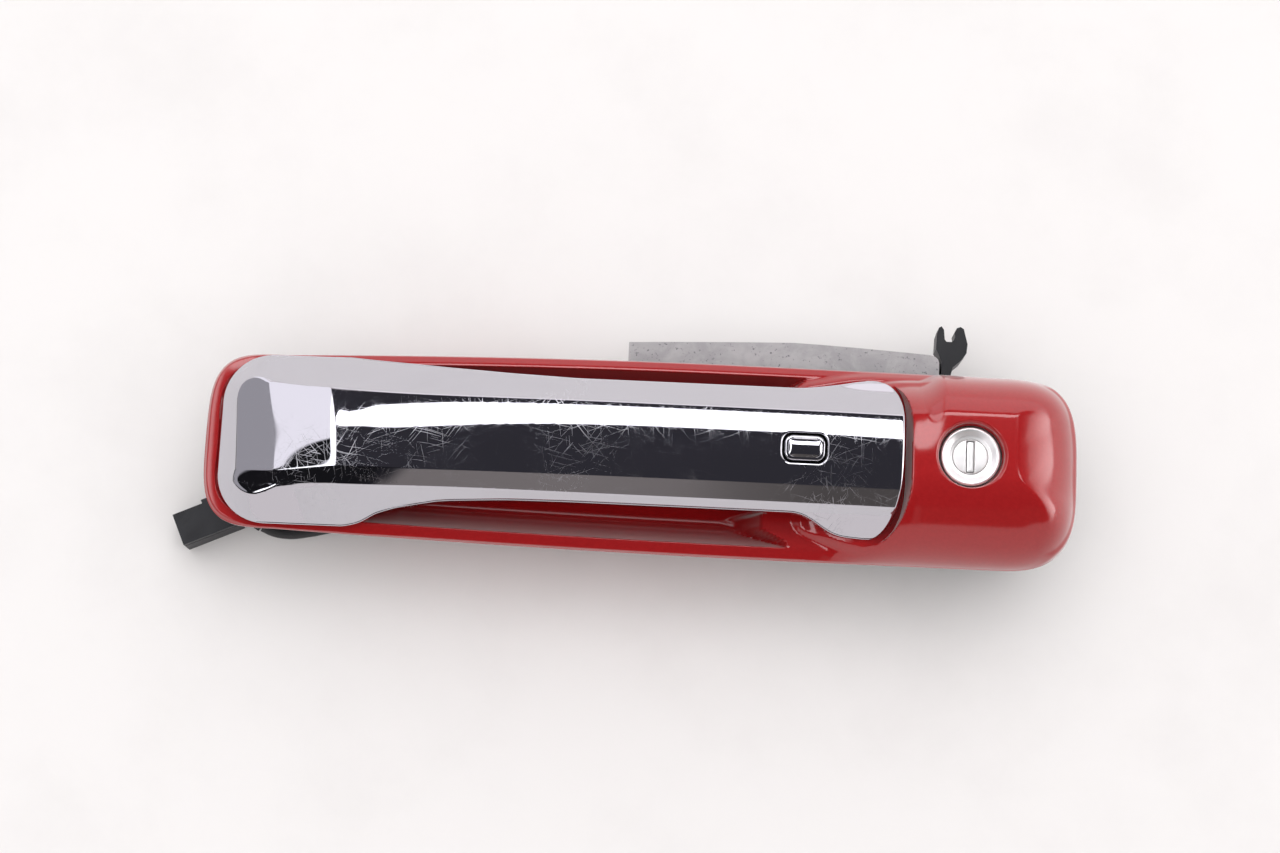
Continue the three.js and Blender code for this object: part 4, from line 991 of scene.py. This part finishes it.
def cast_zinc():
    look = Look("cast_zinc", (0.3, 0.29, 0.3), 0.6, 0.25)
    clouds = look.noise(110, 6.0, 0.65, 0.6)
    specks = look.noise(900, 3.0, 0.6)
    body = look.choose(look.ramp(clouds, 0.32, 0.68), (0.32, 0.305, 0.315), (0.44, 0.42, 0.43))
    look.clouds(specks, 0.6, 0.72, body, (0.14, 0.14, 0.15))
    look.roughness(look.ramp(clouds, 0.3, 0.7, 0.5, 0.68))
    look.bump(specks, 0.35, 0.00012)
    return look.material


def plated_steel():
    look = Look("zinc_plated_steel", (0.62, 0.62, 0.6), 0.34, 1.0)
    clouds = look.noise(240, 4.0)
    look.clouds(clouds, 0.3, 0.7, (0.55, 0.56, 0.55), (0.7, 0.69, 0.64))
    look.roughness(look.ramp(clouds, 0.3, 0.7, 0.26, 0.44))
    look.bump(look.noise(1500, 2.0), 0.1, 0.00005)
    return look.material


def spring_steel():
    look = Look("spring_steel", (0.22, 0.22, 0.23), 0.38, 0.9)
    clouds = look.noise(500, 3.0)
    look.clouds(clouds, 0.3, 0.7, (0.16, 0.16, 0.17), (0.3, 0.29, 0.28))
    look.bump(clouds, 0.1, 0.00005)
    return look.material


def brass():
    look = Look("brass", (0.72, 0.5, 0.2), 0.28, 1.0)
    turned = look.noise(900, 2.0, stretch=(0.1, 0.1, 1))
    look.clouds(turned, 0.3, 0.7, (0.62, 0.42, 0.16), (0.8, 0.58, 0.27))
    look.bump(turned, 0.2, 0.00005)
    return look.material


def moulded(name, color, grain_scale, roughness=0.5, depth=0.00008):
    """Moulded plastic: an eroded-spark grain, with slight flow marks in colour and gloss."""
    look = Look(name, color, roughness)
    look.feed(look.shader, {"Specular IOR Level": 0.2})
    flow = look.noise(45, 4.0, 0.6, 0.8)
    lighter = tuple(min(1, c * 1.5 + 0.004) for c in color)
    look.clouds(flow, 0.35, 0.7, color, lighter)
    look.roughness(look.ramp(flow, 0.3, 0.7, roughness - 0.07, roughness + 0.08))
    look.bump(look.noise(grain_scale, 3.0, 0.6), 0.45, depth)
    return look.material


def rubber(name, color, roughness):
    look = Look(name, color, roughness)
    look.clouds(look.noise(90, 5.0, 0.7), 0.5, 0.8, color, tuple(c * 2.2 + 0.006 for c in color))
    look.bump(look.noise(1400, 2.0), 0.3, 0.00008)
    return look.material


def foam():
    look = Look("foam", (0.03, 0.03, 0.032), 0.95)
    cells = look.add("ShaderNodeTexVoronoi", {"Scale": 1500, "Vector": look.where}).outputs["Distance"]
    # Painted shade in the pores: the colour darkens into the pits at the cell centres, the same pits that the bump
    # below sinks.
    look.clouds(cells, 0.1, 0.6, (0.015, 0.015, 0.016), (0.05, 0.05, 0.052))
    look.bump(cells, 0.8, 0.0003)
    return look.material


def board():
    look = Look("circuit_board", (0.02, 0.13, 0.05), 0.35, 0.0, 0.4, 0.1)
    tracks = look.noise(260, 0.0, stretch=(0.25, 1, 1))
    look.clouds(tracks, 0.52, 0.54, (0.015, 0.11, 0.045), (0.03, 0.19, 0.075))
    look.bump(tracks, 0.2, 0.00004)
    return look.material


LOOKS = {
    "red_paint": red_paint(),
    "chrome": chrome(),
    "stainless_steel": satin_steel(),
    "cast_zinc": cast_zinc(),
    "zinc_plated_steel": plated_steel(),
    "spring_steel": spring_steel(),
    "brass": brass(),
    "black_nylon": moulded("black_nylon", (0.02, 0.019, 0.02), 900, 0.52, 0.0001),
    "black_plastic": moulded("black_plastic", (0.022, 0.022, 0.025), 1300, 0.42, 0.00006),
    "black_rubber": rubber("black_rubber", (0.014, 0.014, 0.014), 0.75),
    "cable_jacket": rubber("cable_jacket", (0.018, 0.018, 0.02), 0.5),
    "foam": foam(),
    "ferrite": moulded("ferrite", (0.05, 0.046, 0.045), 700, 0.6, 0.0001),
    "circuit_board": board(),
}


def paint(obj, slot):
    obj.data.materials.clear()
    obj.data.materials.append(LOOKS[slot])


EDGE_WIDTH = 0.25 * MM


def dress_cad_nodes():
    """Every CAD node that still shows gets its slot's material and softened edges."""
    slots = {m["node"]: m["material_slot"] for m in frame["record"]["subparts"]}
    for name, node in frame["nodes"].items():
        paint(node, slots[name])
        if node.hide_render:
            continue
        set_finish(node, slots[name])
        node.data.shade_smooth()
        bevel = node.modifiers.new("soft_edges", "BEVEL")
        bevel.width = EDGE_WIDTH
        bevel.segments = 2
        bevel.limit_method = "ANGLE"
        bevel.angle_limit = math.radians(38)
        bevel.harden_normals = True


dress_cad_nodes()
for piece in scene.objects:
    if piece.get("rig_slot") and piece.get("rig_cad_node") is None:
        paint(piece, piece["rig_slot"])


# ---------------------------------------------------------------- floor, world and lights
def make_floor():
    bpy.ops.mesh.primitive_plane_add(size=8, location=(0, 0, 0))
    floor = bpy.context.object
    floor.name = "floor"
    look = Look("floor_paper", (0.8, 0.77, 0.765), 0.6)
    marks = look.noise(14, 6.0, 0.62)
    look.clouds(marks, 0.4, 0.75, (0.82, 0.79, 0.785), (0.78, 0.75, 0.745))
    look.bump(look.noise(700, 3.0), 0.15, 0.0001)
    floor.data.materials.append(look.material)


class Sky(Nodes):
    """The studio as a world shader: how bright it is in each direction, as angles about X and towards X."""

    def __init__(self):
        world = bpy.data.worlds.new("studio")
        scene.world = world
        world.use_nodes = True
        world.cycles.sampling_method = "NONE"
        self.tree = world.node_tree
        self.background = self.tree.nodes["Background"]
        self.direction = self.add("ShaderNodeTexCoord").outputs["Generated"]
        x, y, z = self.add("ShaderNodeSeparateXYZ", {0: self.direction}).outputs
        self.tilt = self.degrees(self.maths("ARCTAN2", y, z))
        flat = self.maths("SQRT", self.maths("ADD", self.product(y, y), self.product(z, z)))
        self.swing = self.degrees(self.maths("ARCTAN2", x, flat))

    def degrees(self, value):
        return self.product(value, 180 / math.pi)

    def step(self, value, edge, soft, falling=False):
        return self.ramp(value, edge - soft, edge + soft, float(falling), float(not falling))

    def band(self, value, low, high, soft):
        return self.maths("SUBTRACT", self.step(value, low, soft), self.step(value, high, soft))

    def patch(self, tilt, swing, soft):
        return self.product(self.band(self.tilt, *tilt, soft), self.band(self.swing, *swing, soft))

    def lay(self, under, color, mask):
        return self.choose(mask, under, color)


PAPER = (0.93, 0.88, 0.88)
LAMP_DIRECTION = (0.05, 0.5, 0.86)
FILL_LIGHT = 0.58


def make_studio():
    """Two sets of light: what mirrors show, and a plain soft gradient that lights matt surfaces."""
    sky = Sky()
    dark = (0.042, 0.041, 0.05)
    pitch = (0.012, 0.012, 0.014)
    above = sky.maths("MAXIMUM", sky.maths("SUBTRACT", sky.tilt, 8.0), 0.0)
    past_slope = sky.maths("SUBTRACT", sky.swing, sky.product(above, above, 0.009))
    beside = sky.maths("MINIMUM", sky.maths("ADD", sky.swing, 13.0), 0.0)
    corner = sky.product(beside, beside, 0.36)
    made = sky.lay(PAPER, (1.4, 1.34, 1.38), sky.patch((58, 88), (-14, 70), 3))
    made = sky.lay(made, dark, sky.patch((-66, 58), (-21, 50), 2))
    made = sky.lay(made, pitch, sky.patch((-70, 40), (-75, -21), 2))
    made = sky.lay(made, pitch, sky.patch((-66, -30), (-24, -9), 2))
    made = sky.lay(made, (1.36, 1.33, 1.4), sky.patch((8, 110), (-48.5, -21), 1.5))
    made = sky.lay(made, (0.48, 0.47, 0.5), sky.patch((-50, 75), (-75, -48.5), 1.5))
    warm = sky.choose(sky.step(sky.swing, 2.5, 3.5), (0.27, 0.245, 0.235), (0.11, 0.1, 0.095))
    made = sky.lay(made, warm, sky.patch((-65, -47), (-8, 60), 1.2))
    low_edge = sky.step(sky.maths("ADD", sky.tilt, sky.product(beside, 0.7)), 17.5, 1.3)
    high_edge = sky.step(sky.maths("ADD", sky.tilt, corner), 41.5, 1.3, falling=True)
    box = sky.product(low_edge, high_edge, sky.band(sky.swing, -20, 30, 1.3))
    made = sky.lay(made, (4.6, 4.6, 4.7), box)
    right = sky.product(sky.step(sky.swing, 62, 22), sky.band(sky.tilt, -75, 75, 14))
    made = sky.lay(made, (5, 4.9, 4.9), right)
    made = sky.lay(made, (0.3, 0.3, 0.3), sky.band(sky.swing, -100, -76, 2))
    window = sky.product(sky.step(past_slope, -37.5, 1.3), sky.step(sky.swing, -21, 1.3, falling=True),
                         sky.band(sky.tilt, -40, 62, 1.5))
    made = sky.lay(made, (3.2, 3.2, 3.3), window)
    towards = {0: sky.direction, 1: LAMP_DIRECTION}
    lamp = sky.add("ShaderNodeVectorMath", towards, operation="DOT_PRODUCT").outputs["Value"]
    soft = sky.maths("ADD", sky.maths("MAXIMUM", lamp, 0.0), FILL_LIGHT)
    plain = sky.add("ShaderNodeCombineColor", {0: soft, 1: soft, 2: soft})
    path = sky.add("ShaderNodeLightPath")
    matt = sky.step(path.outputs["Diffuse Depth"], 0.5, 0.1)
    made = sky.choose(matt, made, plain.outputs["Color"])
    made = sky.lay(made, PAPER, path.outputs["Is Camera Ray"])
    sky.feed(sky.background, {"Color": made, "Strength": 1.0})


def area_light(name, at, size, watts):
    data = bpy.data.lights.new(name, "AREA")
    data.shape = "DISK"
    data.size = size
    data.energy = watts
    light = bpy.data.objects.new(name, data)
    scene.collection.objects.link(light)
    light.location = at
    light.rotation_euler = (Vector((0, 0, 0)) - Vector(at)).to_track_quat("-Z", "Y").to_euler()
    light.visible_glossy = False
    light.visible_camera = False


make_floor()
make_studio()
area_light("key", (0.1, 0.85, 1.3), 1.1, 1.6)
scene.view_settings.view_transform = "Standard"
